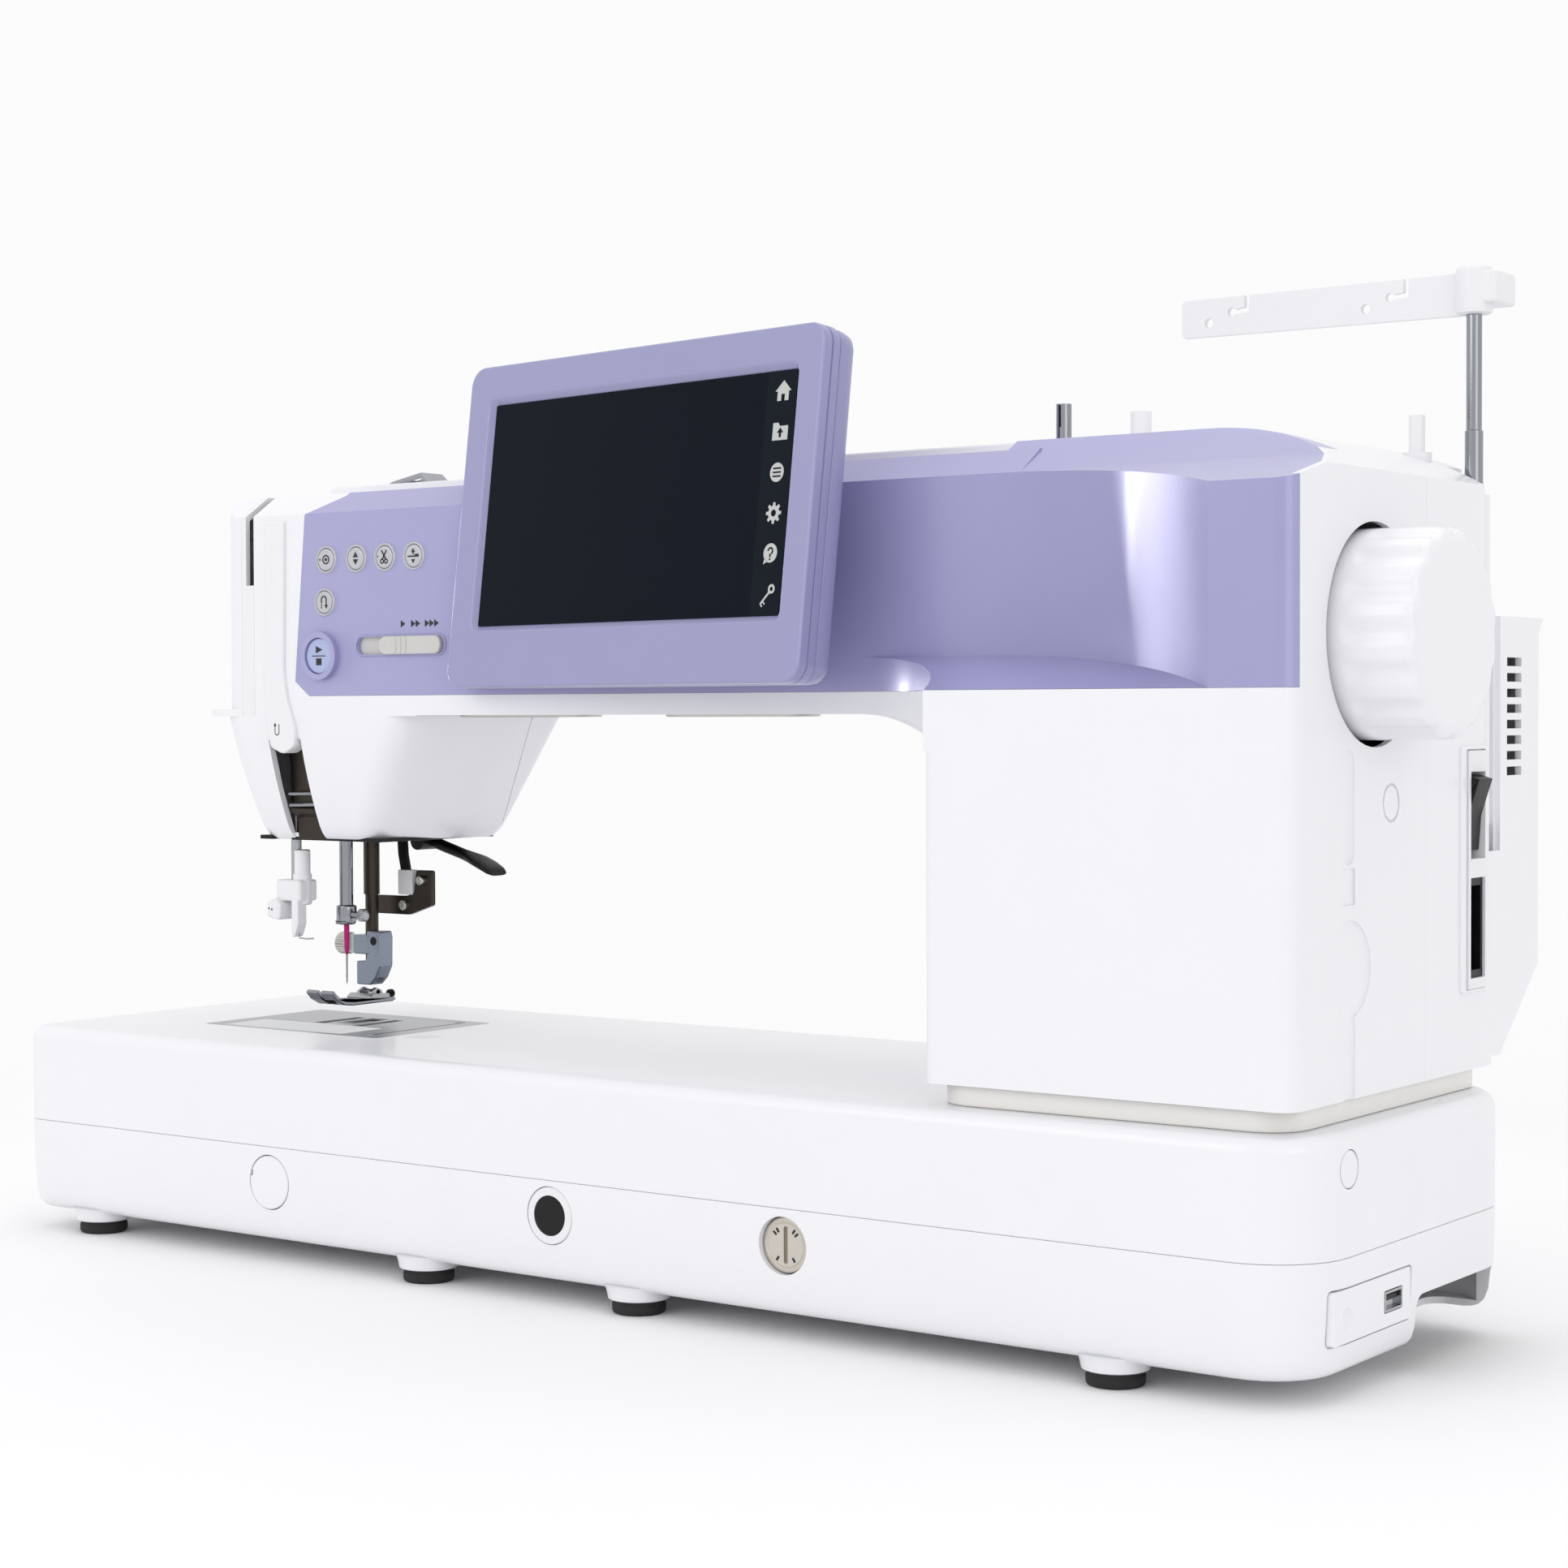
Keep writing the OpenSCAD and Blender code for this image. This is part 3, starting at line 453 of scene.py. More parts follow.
def bed_top():
    shell = pillow(BED_OUTLINE, "z", BED_SEAM, BED.z, 0.5, 6, 6)
    cavity = prism(inset(BED_OUTLINE, WALL + 1.2), "z", BED_SEAM - 1, BED.z - WALL)
    plate = box_prism((65, 50), (173, 125), 3, "z", BED.z - 10, BED.z + 5)
    key = box_prism((180, 60), (192, 72), 1.5, "z", BED.z - 10, BED.z + 5)
    column = prism(box_outline(*COLUMN, 3), "z", BED.z - 10, BED.z + 5)
    plug = disc_cutter(SIDE_PLUG, 6.75, "x", BED.x - 8, BED.x + 2)
    shell = cut(shell, cavity, plate, key, column, plug)
    piece("bed_top_shell", shell, "white_gloss", stands_for="bed_cover", limit=40)


def bed_bottom():
    slopes = [(SHELL_BOTTOM, 8.5), (9.8, 6.4), (10.9, 4.3), (13, 2.6), (17, 1.4), (26, 0.6), (40, 0.1),
              (49.3, 0), (49.65, 0.15), (49.8, 0.5)]
    shell = loft([put(inset(BED_OUTLINE, d), "z", z) for z, d in slopes])
    cavity = prism(inset(BED_OUTLINE, 2 * WALL), "z", 12, 55)
    grip = pillow(box_outline((610, 86), (670, 165), 8), "z", -5, 28, 0, 5)
    port = box_prism((18.6, 20.6), (80.9, 40.1), 2, "x", BED.x - 3.4, BED.x + 5)
    bores = [disc_cutter(KNEE, 11.6, "y", -2, 8), disc_cutter(DIAL, 10.9, "y", -2, 8),
             disc_cutter(FRONT_PLUG, 11.75, "y", -2, 8)]
    shell = cut(shell, cavity, grip, port, *bores)
    bosses = [turned([(5.5, 11.4), (5.9, 12.1), (8.6, 12.6), (10.4, 13.2), (11.4, 13.7)], "z", foot)
              for foot in FEET]
    piece("bed_bottom_shell", joined(shell, *bosses), "white_gloss", stands_for="bottom_cover", limit=40)
    # mid-grey sheet filling the gap between the bed shells: painted shade for the shadowed joint line
    seam_shade_sheet = cut(prism(inset(BED_OUTLINE, 1), "z", 49.1, 50.6),
                 prism(inset(BED_OUTLINE, 2.4), "z", 48, 52))
    piece("bed_seam_painted_shade", seam_shade_sheet, "painted_seam_shade")


def bed_fittings():
    feet = [turned([(0, 9.2), (0.4, 10.1), (1.3, 10.5), (3.6, 10.5), (4, 10.2), (5.6, 10.2)], "z", foot)
            for foot in FEET]
    piece("rubber_foot_set", joined(*feet), "rubber", stands_for="rubber_feet")
    front = turned([(0.25, 10.6), (0.05, 11), (0.3, 11.3), (3.5, 11.3)], "y", FRONT_PLUG)
    notch = box_prism((FRONT_PLUG[0] - 13, FRONT_PLUG[1] + 2), (FRONT_PLUG[0] - 9.6, FRONT_PLUG[1] + 5.4),
            1, "y", -1, 2)
    side = turned([(BED.x - 4, 6.4), (BED.x - 0.4, 6.4), (BED.x - 0.15, 6.1), (BED.x - 0.3, 5.6)], "x",
                  SIDE_PLUG)
    piece("bed_plugs", joined(cut(front, notch), side), "white_gloss", stands_for="hole_plugs")
    dial = turned([(9, 10.5), (3, 10.5), (2.5, 10.1), (2.35, 9.5), (2.35, 8.9), (2.6, 8.7), (2.6, 8.3),
                   (2.35, 8.1), (2.35, 0)], "y", DIAL, 64)
    slot = box_prism((DIAL[0] - 0.9, DIAL[1] - 7), (DIAL[0] + 0.9, DIAL[1] + 7), 0.85, "y", 1, 4.4)
    piece("feed_dial_disc", cut(dial, slot), "dial_metal", "feed_dial", "feed_dial", bevel=0.12)
    marks = []
    for angle in (-50, -35, 35, 50, 145, 215):
        turn = Matrix.Translation((DIAL[0], 0, DIAL[1])) @ Matrix.Rotation(math.radians(angle), 4, "Y")
        marks.append(moved(box_prism((-0.45, 5.4), (0.45, 7.4), 0.3, "y", 2.25, 2.6), turn))
    piece("feed_dial_marks", joined(*marks), "icon_dark", "feed_dial")
    flange = turned([(0.1, 8), (0.1, 10.9), (0.5, 11.3), (3, 11.3), (3, 8)], "y", KNEE, 48, True)
    piece("knee_flange", flange, "white_satin", "knee_socket", "knee_socket")
    bore = turned([(0.3, 6.2), (0.1, 7), (0.3, 7.9), (24, 7.9), (24, 0), (22, 0), (22, 6.1), (1, 6.1)],
                  "y", KNEE, 48)
    piece("knee_bore", bore, "black_plastic", "knee_socket")


def side_port():
    right = BED.x - 0.2
    panel = pillow(box_outline((19.2, 21.2), (80.3, 39.5), 1.6), "x", right - 3, right, 0, 0.5)
    mouth = box_prism((58.6, 26.1), (73.4, 33.9), 0.8, "x", right - 5, right + 2)
    dimple = turned([(right - 1.2, 1), (right - 1, 2.6), (right - 0.4, 3.7), (right + 0.2, 4.3)], "x",
                    (30, 29))
    frame_ring = cut(pillow(box_outline((58.9, 26.4), (73.1, 33.6), 0.6), "x", right - 6, right + 0.15, 0,
            0.2), box_prism((59.8, 27.3), (72.2, 32.7), 0.3, "x", right - 5, right + 3))
    tongue = box_prism((60.6, 30), (71.4, 31.8), 0.2, "x", right - 5.4, right - 1)
    piece("port_panel", cut(panel, mouth, dimple), "white_gloss", stands_for="usb_panel", bevel=0.15)
    piece("port_shell", frame_ring, "steel", bevel=0.08)
    piece("port_tongue", tongue, "black_plastic", bevel=0.1)


# ---------------- touch screen
SCREEN = (Matrix.Translation((242.2, 40, 269)) @ Matrix.Rotation(math.radians(-10.1), 4, "Z")
          @ Matrix.Rotation(math.radians(-6.7), 4, "X"))
BEZEL = ((-16.3, -25.6), (195.5, 109))
WINDOW = ((0, 0), (180.5, 92.3))
SCREEN_ICON_SIZE = 4.3
STRIP_X = 164.6


def screen_ring(outline, depth, inwards=0.0):
    return put(inset(outline, inwards), "y", depth)


def screen():
    outer = box_outline(*BEZEL, 8, 8)
    window = box_outline(*WINDOW, 1.2, 8)
    rings = [screen_ring(outer, depth, d) for depth, d in
             ((7.5, 0.6), (6.9, 0), (3.6, 0), (3.3, 0.6), (2.9, 0.6), (2.6, 0), (-0.7, 0), (-1.2, 0.35),
              (-1.5, 1.1))]
    rings += [screen_ring(window, depth, d) for depth, d in
              ((-1.5, -3.4), (-1.3, -2.7), (-1.0, -2.2), (0.9, -0.2), (1.6, -0.2), (7.4, -0.2))]
    piece("bezel_frame", moved(loft(rings, True), SCREEN), "pale_lavender", stands_for="screen_bezel",
          limit=50)
    main = box_prism((-0.15, -0.15), (STRIP_X, 92.45), 0, "y", 0.6, 2.2)
    side = box_prism((STRIP_X, -0.15), (180.65, 92.45), 0, "y", 0.55, 2.2)
    piece("display_main", moved(main, SCREEN), "screen_glass", stands_for="screen_glass")
    piece("display_strip", moved(side, SCREEN), "screen_strip")
    back = [screen_ring(outer, depth, d) for depth, d in
            ((7.6, 1.2), (8.4, 0.5), (12, 0.7), (15, 1.5), (17, 3.2), (18.1, 5.4), (18.5, 7.4))]
    block = pillow(box_outline((262, 5), (402, 49.95), 5), "z", 262, 316, 4, 4)
    block = cut(block, moved(box_prism((-200, -200), (400, 300), 0, "y", -100, 12), SCREEN))
    piece("screen_back_shell", joined(moved(loft(back), SCREEN), block), "pale_lavender",
          stands_for="screen_housing", limit=50)


def bars(*corners):
    return [box_outline(low, high) for low, high in corners]


def ring_parts(centre, outer, inner, first=0, last=360, steps=20):
    """A ring or an arc as four-sided patches."""
    out = arc(centre, outer, first, last, steps)
    inside = arc(centre, inner, first, last, steps)
    return [[out[i], out[i + 1], inside[i + 1], inside[i]] for i in range(steps)]


def cog(outer, inner, teeth=8):
    outline = []
    for i in range(teeth):
        for step, radius in ((-0.3, inner), (-0.18, outer), (0.18, outer), (0.3, inner)):
            angle = 2 * math.pi * (i + step) / teeth
            outline.append(Vector((radius * math.cos(angle), radius * math.sin(angle))))
    return outline


HOME = ([[(-1, 0), (1, 0), (0, 0.95)]]
        + bars(((-0.7, -0.85), (-0.22, 0)), ((0.22, -0.85), (0.7, 0)), ((-0.22, -0.25), (0.22, 0))))
FOLDER = bars(((-0.95, -0.75), (0.95, 0.5))) + [[(-0.95, 0.5), (-0.1, 0.5), (-0.3, 0.8), (-0.95, 0.8)]]
FOLDER_ARROW = [[(-0.4, -0.1), (0.4, -0.1), (0, 0.35)]] + bars(((-0.13, -0.5), (0.13, -0.1)))
MENU_LINES = bars(((-0.5, 0.28), (0.5, 0.42)), ((-0.5, -0.07), (0.5, 0.07)),
                  ((-0.5, -0.42), (0.5, -0.28)))
BUBBLE = [circle((0, 0.08), 0.85), [(-0.8, -0.9), (-0.3, -0.65), (-0.68, -0.3)]]
QUERY = ring_parts((0, 0.25), 0.36, 0.2, 180, -60, 10) + bars(((-0.09, -0.28), (0.09, 0.03)),
        ((-0.09, -0.55), (0.09, -0.38)))
KEY = (ring_parts((0.5, 0.5), 0.42, 0.2) + [[(0.3, 0.12), (0.16, 0.26), (-0.85, -0.75), (-0.72, -0.88)]]
       + [[(-0.5, -0.66), (-0.28, -0.88), (-0.18, -0.78), (-0.4, -0.56)],
          [(-0.75, -0.91), (-0.58, -1.08), (-0.48, -0.98), (-0.65, -0.81)]])
SCREEN_ICONS = [(HOME, []), (FOLDER, FOLDER_ARROW), ([circle((0, 0), 0.85)], MENU_LINES),
                ([cog(0.95, 0.68)], [circle((0, 0), 0.3)]), (BUBBLE, QUERY), (KEY, [])]


def icon(shapes, centre, size, axis_place, thickness=0.12):
    """Flat marks across y, as one thin mesh."""
    parts = []
    for shape in shapes:
        outline = [Vector((centre[0] + p[0] * size, centre[1] + p[1] * size)) for p in shape]
        parts.append(prism(outline, "y", axis_place - thickness, axis_place))
    return joined(*parts)


def screen_icons():
    light, dark = [], []
    column = (STRIP_X + WINDOW[1][0]) / 2 + 1
    step = WINDOW[1][1] / len(SCREEN_ICONS)
    for i, (shape, detail) in enumerate(SCREEN_ICONS):
        centre = (column, WINDOW[1][1] - step * (i + 0.5))
        light.append(icon(shape, centre, SCREEN_ICON_SIZE, 0.56))
        if detail:
            dark.append(icon(detail, centre, SCREEN_ICON_SIZE, 0.43, 0.06))
    piece("screen_icons", moved(joined(*light), SCREEN), "icon_grey")
    piece("screen_icon_details", moved(joined(*dark), SCREEN), "screen_strip")


# ---------------- handwheel
FLUTES = 16
FLUTE_DEPTH = 1.7
FLUTE_STEPS = 12
FLUTE_FLAT = 0.45    # part of each rib that stays round


def handwheel():
    left, right = WHEEL_LOW.x, WHEEL_HIGH.x
    profile = [(left, 0, 0), (left, WHEEL_R - 1.5, 0), (left + 0.5, WHEEL_R - 0.5, 0),
               (left + 1.6, WHEEL_R, 0), (left + 16, WHEEL_R, 0), (left + 17.5, WHEEL_R, 0.25),
               (left + 19, WHEEL_R, 0.65), (left + 21, WHEEL_R, 0.92), (left + 24, WHEEL_R, 1),
               (right - 4, WHEEL_R, 1), (right - 2, WHEEL_R - 0.7, 0.95),
               (right - 0.7, WHEEL_R - 2, 0.75), (right - 0.1, WHEEL_R - 4.2, 0.4),
               (right, WHEEL_R - 7, 0), (right - 0.3, WHEEL_R - 12, 0), (right - 0.9, 10, 0),
               (right - 1, 0, 0)]
    rings = []
    count = FLUTES * FLUTE_STEPS
    for x, radius, depth in profile:
        ring = []
        for i in range(count):
            angle = 2 * math.pi * i / count
            hollow = max(math.cos(FLUTES * angle), -FLUTE_FLAT) + FLUTE_FLAT
            reach = max(radius - FLUTE_DEPTH * depth * hollow / (1 + FLUTE_FLAT), THINNEST)
            ring.append(Vector((x, WHEEL_Y + reach * math.cos(angle), WHEEL_Z + reach * math.sin(angle))))
        rings.append(ring)
    piece("handwheel_rim", loft(rings), "white_gloss", "main_shaft", "handwheel", limit=60)


# ---------------- buttons and marks
BUTTON_NODES = ("lock_button", "needle_button", "cutter_button", "foot_button", "reverse_button")
ICON_SIZE = 3.6
START_ICON_SIZE = 5.4
SCISSORS = ([[(-0.5, 0.8), (-0.34, 0.86), (0.34, -0.2), (0.2, -0.3)],
             [(0.5, 0.8), (0.34, 0.86), (-0.34, -0.2), (-0.2, -0.3)]]
            + ring_parts((-0.32, -0.5), 0.32, 0.17) + ring_parts((0.32, -0.5), 0.32, 0.17)
            + [circle((-1.05, 0.1), 0.13, 12)])
FOOT = (bars(((-0.9, -0.14), (0.9, 0.02)))
        + [[(0.15, 0), (0.9, 0), (0.9, 0.18), (0.4, 0.22)], [(-0.3, 0.42), (0.3, 0.42), (0, 0.9)]]
        + bars(((-0.08, 0.15), (0.08, 0.45))) + [[(-0.3, -0.42), (0, -0.9), (0.3, -0.42)]])
REVERSE = (ring_parts((0, 0.3), 0.48, 0.32, 0, 180, 12)
           + bars(((-0.48, -0.1), (-0.32, 0.3)), ((-0.48, -0.42), (-0.32, -0.22)),
                  ((-0.48, -0.74), (-0.32, -0.54)), ((0.32, -0.4), (0.48, 0.3)))
           + [[(0.12, -0.35), (0.4, -0.8), (0.68, -0.35)]])
BUTTON_ICONS = {
    "lock_button": (ring_parts((0.05, 0), 0.58, 0.42)
                    + [circle((0.05, 0), 0.2), circle((-0.95, 0), 0.12, 12)]),
    "needle_button": [[(-0.42, 0.12), (0.42, 0.12), (0, 0.78)],
                      [(-0.42, -0.12), (0, -0.78), (0.42, -0.12)]],
    "cutter_button": SCISSORS,
    "foot_button": FOOT,
    "reverse_button": REVERSE,
}


def button_place(node):
    """(centre, radius, front, back) of a round button."""
    low, high = bench(node)
    centre = ((low.x + high.x) / 2, (low.z + high.z) / 2)
    return centre, (high.x - low.x) / 2, low.y, high.y


def buttons():
    rings = []
    for node in BUTTON_NODES:
        centre, radius, front, back = button_place(node)
        disc = turned([(back, radius), (front + 0.7, radius), (front + 0.2, radius - 0.25),
                (front, radius - 0.8), (front + 0.15, radius - 1.6), (front + 0.2, 0)], "y", centre)
        piece(node + "_cap", disc, "button_silver", node, node, limit=50)
        piece(node + "_icon", icon(BUTTON_ICONS[node], centre, ICON_SIZE, front + 0.16), "icon_dark",
              node)
        rings.append(turned([(ARM_FRONT + 0.3, radius + 0.15), (front + 0.4, radius + 0.2),
                (front + 0.1, radius + 0.5), (front + 0.15, radius + 0.9), (front + 0.5, radius + 1.25),
                (ARM_FRONT + 0.3, radius + 1.35)], "y", centre, 48, True))
    piece("button_rims", joined(*rings), "button_silver")


def start_button():
    centre, radius, front, back = button_place("start_stop_button")
    disc = turned([(back, radius), (front + 0.6, radius), (front + 0.15, radius - 0.3),
                   (front, radius - 0.9), (front + 0.1, 0)], "y", centre)
    piece("start_stop_cap", disc, "start_blue", "start_stop_button", "start_stop_button", limit=50)
    marks = ([[(-0.32, 0.22), (0.4, 0.5), (-0.32, 0.8)]]
             + bars(((-0.75, -0.035), (0.75, 0.035)), ((-0.3, -0.75), (0.3, -0.2))))
    piece("start_stop_icon", icon(marks, centre, START_ICON_SIZE, front + 0.04), "icon_dark",
          "start_stop_button")


def speed_marks():
    low, high = bench("speed_slider")
    marks = []
    for group, x in enumerate((189.5, 195.5, 203.5)):
        for i in range(group + 1):
            left = x + 2.7 * i
            marks.append([(left, 269.6), (left + 2.5, 271.1), (left, 272.6)])
    parts = [prism([Vector(p) for p in mark], "y", ARM_FRONT - 0.12, ARM_FRONT + 0.1) for mark in marks]
    piece("speed_marks", joined(*parts), "icon_dark")
    slot_outline = box_outline((162.4, 257.2), (215.8, 266.8), 4.7, 8)
    rim = cut(pillow(slot_outline, "y", ARM_FRONT - 0.5, ARM_FRONT + 0.6, 0.5),
              prism(inset(slot_outline, 1.1), "y", 40, 60))
    piece("slider_rim", rim, "pale_lavender", limit=50)
    piece("slider_track", prism(inset(slot_outline, 0.4), "y", ARM_FRONT + 1.5, ARM_FRONT + 2.3),
          "slider_grey", bevel=0.2)
    grip_low, grip_high = low.z + 0.3, high.z - 0.3
    ribs = [pillow(box_outline((x, grip_low), (x + 1.5, grip_high), 0.7), "y", low.y - 0.45, low.y + 0.6,
                   0.4) for x in (low.x + 9, low.x + 12, low.x + 15)]
    body = pillow(box_outline((low.x, low.z), (high.x, high.z), (high.z - low.z) / 2 - 0.1, 8), "y",
                  low.y, ARM_FRONT + 1.2, 0.6)
    piece("speed_slider_knob", fused(body, *ribs), "slider_grey", "speed_slider", "speed_slider",
          limit=50)


# ---------------- needle area
def needle_parts():
    low, high = bench("needle")
    shank = turned([(high.z - 13.6, 0.5), (high.z - 12.6, 0.85), (high.z - 11, 1.15),
                    (high.z - 7.2, 1.15), (high.z - 6.8, 1.25), (high.z, 1.25)], "z", NEEDLE, 24)
    blade = turned([(low.z, 0.05), (low.z + 1.2, 0.28), (low.z + 3, 0.42), (low.z + 8, 0.45),
                    (high.z - 13.2, 0.5)], "z", NEEDLE, 24)
    eye = box_prism((NEEDLE_X - 0.13, low.z + 3.4), (NEEDLE_X + 0.13, low.z + 5), 0.12, "y", NEEDLE_Y - 2,
                    NEEDLE_Y + 2)
    piece("needle_shank", shank, "magenta", "needle_bar", "needle")
    piece("needle_blade", cut(blade, eye), "chrome", "needle_bar")


def holder_parts():
    side_line = rounded([(119, 120.6), (119, 133.2), (126.8, 133.2), (127.6, 130.6), (127.4, 117.4),
            (124.6, 112), (121, 108.6), (112.6, 108.6), (112.6, 119.4), (117.6, 119.4)][::-1], 0.8, 3)
    block = pillow(side_line, "y", 100, 108.6, 0.6, 0.6, 3)
    collar = pillow(box_outline((110.6, 99.6), (121, 109), 1.2), "z", 122.6, 131.4, 0.7, 0.7)
    bore = disc_cutter(HOLDER_BORE, 2, "y", 99.4, 100.6)
    # black disc just behind the shallow bore: painted shade that makes the hole read deep and dark
    plug = disc_cutter(HOLDER_BORE, 1.95, "y", 100.2, 101)
    piece("holder_hole_painted_shade", plug, "black_plastic", "presser_bar", bevel=0.1)
    block = cut(block, bore)
    head = knurled((99.2, 105.8), 5.1, (104, 127), "x", 24)
    piece("holder_block", joined(block, collar), "blue_steel", "presser_bar", "foot_holder", limit=50)
    piece("holder_screw", head, "zinc", "presser_bar")


RIB_DEPTH = 0.22
RIB_STEPS = 4


def knurled(reach, radius, centre, axis, ribs):
    """Thumbscrew head with fine ribs round its rim."""
    low, high = reach
    rings = []
    count = ribs * RIB_STEPS
    for place, r, depth in ((low, radius - 1.6, 0), (low, radius - 0.8, 0), (low + 0.5, radius - 0.2, 1),
            (high - 0.5, radius - 0.2, 1), (high, radius - 0.8, 0), (high, radius - 2, 0)):
        outline = []
        for i in range(count):
            angle = 2 * math.pi * i / count
            reach_out = r + RIB_DEPTH * depth * math.cos(ribs * angle)
            outline.append(Vector((centre[0] + reach_out * math.cos(angle),
                                   centre[1] + reach_out * math.sin(angle))))
        rings.append(put(outline, axis, place))
    return loft(rings)


# ---------------- thread mast and top
def mast_parts():
    low, high = bench("mast_pole")
    pole = turned([(low.z, 3.4), (high.z - 47, 3.4), (high.z - 46.6, 2.9), (high.z, 2.9)], "z", MAST, 32)
    piece("mast_tube", pole, "chrome", "mast", "mast_pole")
    low, high = bench("mast_guide")
    cap = turned([(380.5, 5.6), (381, 6.6), (383, 7), (396.2, 7), (397.8, 6.4), (398.5, 4.8), (398.7, 0)],
                 "z", MAST, 40)
    arm = pillow(box_outline((617, 167), (634, 187.8), 3), "z", 384.2, 396, 1, 1)
    bar_low, bar_high = 380.2, 396.3
    bar = pillow(rounded([(low.x, bar_low + 0.4), (622, bar_low), (622, bar_high),
            (low.x, bar_high - 0.6)], 2), "y", 170.7, 173.3, 0.4, 0.4)
    holes = [disc_cutter((x, 386), 1.9, "y", 160, 190) for x in (513, 580)]
    slits = []
    for x in (530, 597):
        slits.append(prism(rounded([(x - 1.5, 397), (x - 1.5, 391), (x - 6.5, 390.4), (x - 6.5, 388.6),
                (x + 0.6, 389.2), (x + 0.8, 397)], 0.5, 3), "y", 160, 190))
        slits.append(disc_cutter((x - 7, 389.6), 1.8, "y", 160, 190))
    piece("mast_head", joined(cut(bar, *holes, *slits), cap, arm), "white_satin", "mast", "mast_guide",
          limit=50)


# ---------------- covers
HEAD_CUT = ((40, 40), (208, 156))
HEAD_TOP = 231.6
HEAD_BOTTOM = 176.2
HEAD_RIGHT = 198
HEAD_RIGHT_LEAN = 31    # how far the right side comes in towards the bottom
SEAM_SLOPE = 0.209
SEAM_HALF = 0.3


def cad_mesh(node):
    """Copy of a CAD node's surface, in bench millimetres."""
    shape = bmesh.new()
    shape.from_mesh(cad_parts[node].data)
    bmesh.ops.remove_doubles(shape, verts=shape.verts, dist=CAD_WELD * MM)
    return moved(to_mesh(shape, node), TO_FRAME.inverted())


def cover(node, material, width, *cutters):
    mesh = cut(bevelled(cad_mesh(node), width), *cutters)
    piece(node + "_shell", mesh, material, "machine", node, limit=32)


def head_room():
    return prism(box_outline(*HEAD_CUT), "z", 168, HEAD_TOP)


def side_recesses():
    """Grooves and dimples in the tower's right wall."""
    face = TOWER_RIGHT
    pill = pillow(box_outline((44, 180), (53, 219.5), 4.4), "x", face - 1.1, face + 3, 1)
    lower = pillow(box_outline((45, 96), (54, 133), 4.4), "x", face - 1.1, face + 3, 1)
    dish = pillow(circle((49.5, 144.5), 16.8, 48), "x", face - 1.1, face + 3, 1)
    ring = turned([(face - 0.9, 6.9), (face + 2, 6.9), (face + 2, 5.9), (face - 0.9, 5.9)], "x",
                  (82.7, 200.5), 40, True)
    latch = box_prism((43.6, 166.4), (53.4, 179), 0.6, "x", face - 0.7, face + 3)
    return fused(dish, lower), pill, ring, latch


def covers():
    cover("front_cover", "white_gloss", 0.9, head_room(), *side_recesses())
    cover("rear_cover", "white_gloss", 0.9, head_room())
    cover("face_cover", "white_gloss", 0.9, head_room())
    cover("thread_channel", "white_satin", 0.4, head_room())
    cover("fascia", "lavender", 0.7)


def head_outline(z, inwards=0.0):
    """Outline of the head's lower part at a height."""
    drop = max((HEAD_TOP - z) / (HEAD_TOP - HEAD_BOTTOM), 0)
    left, right = 72 + 12 * drop, HEAD_RIGHT - HEAD_RIGHT_LEAN * drop
    front, back = 50 + 12 * drop ** 1.6, 150 - 8 * drop
    outline = rounded([(left, front), (right - 6, front), (right, back - 30), (right, back),
            (left, back)], [20, 15, 12, 9, 14], 8)
    return inset(outline, inwards)


def head_seam():
    """Cutter for the thin joint line down the head's right side."""
    rings = []
    for z in (HEAD_TOP + 1, 215, 200, 188, 180.5):
        fall = HEAD_TOP - z
        side = HEAD_RIGHT - HEAD_RIGHT_LEAN * fall / (HEAD_TOP - HEAD_BOTTOM)
        y = 125.6 + SEAM_SLOPE * fall
        rings.append(put(box_outline((side - 0.7, y - SEAM_HALF), (side + 3, y + SEAM_HALF)), "z", z))
    return loft(rings)


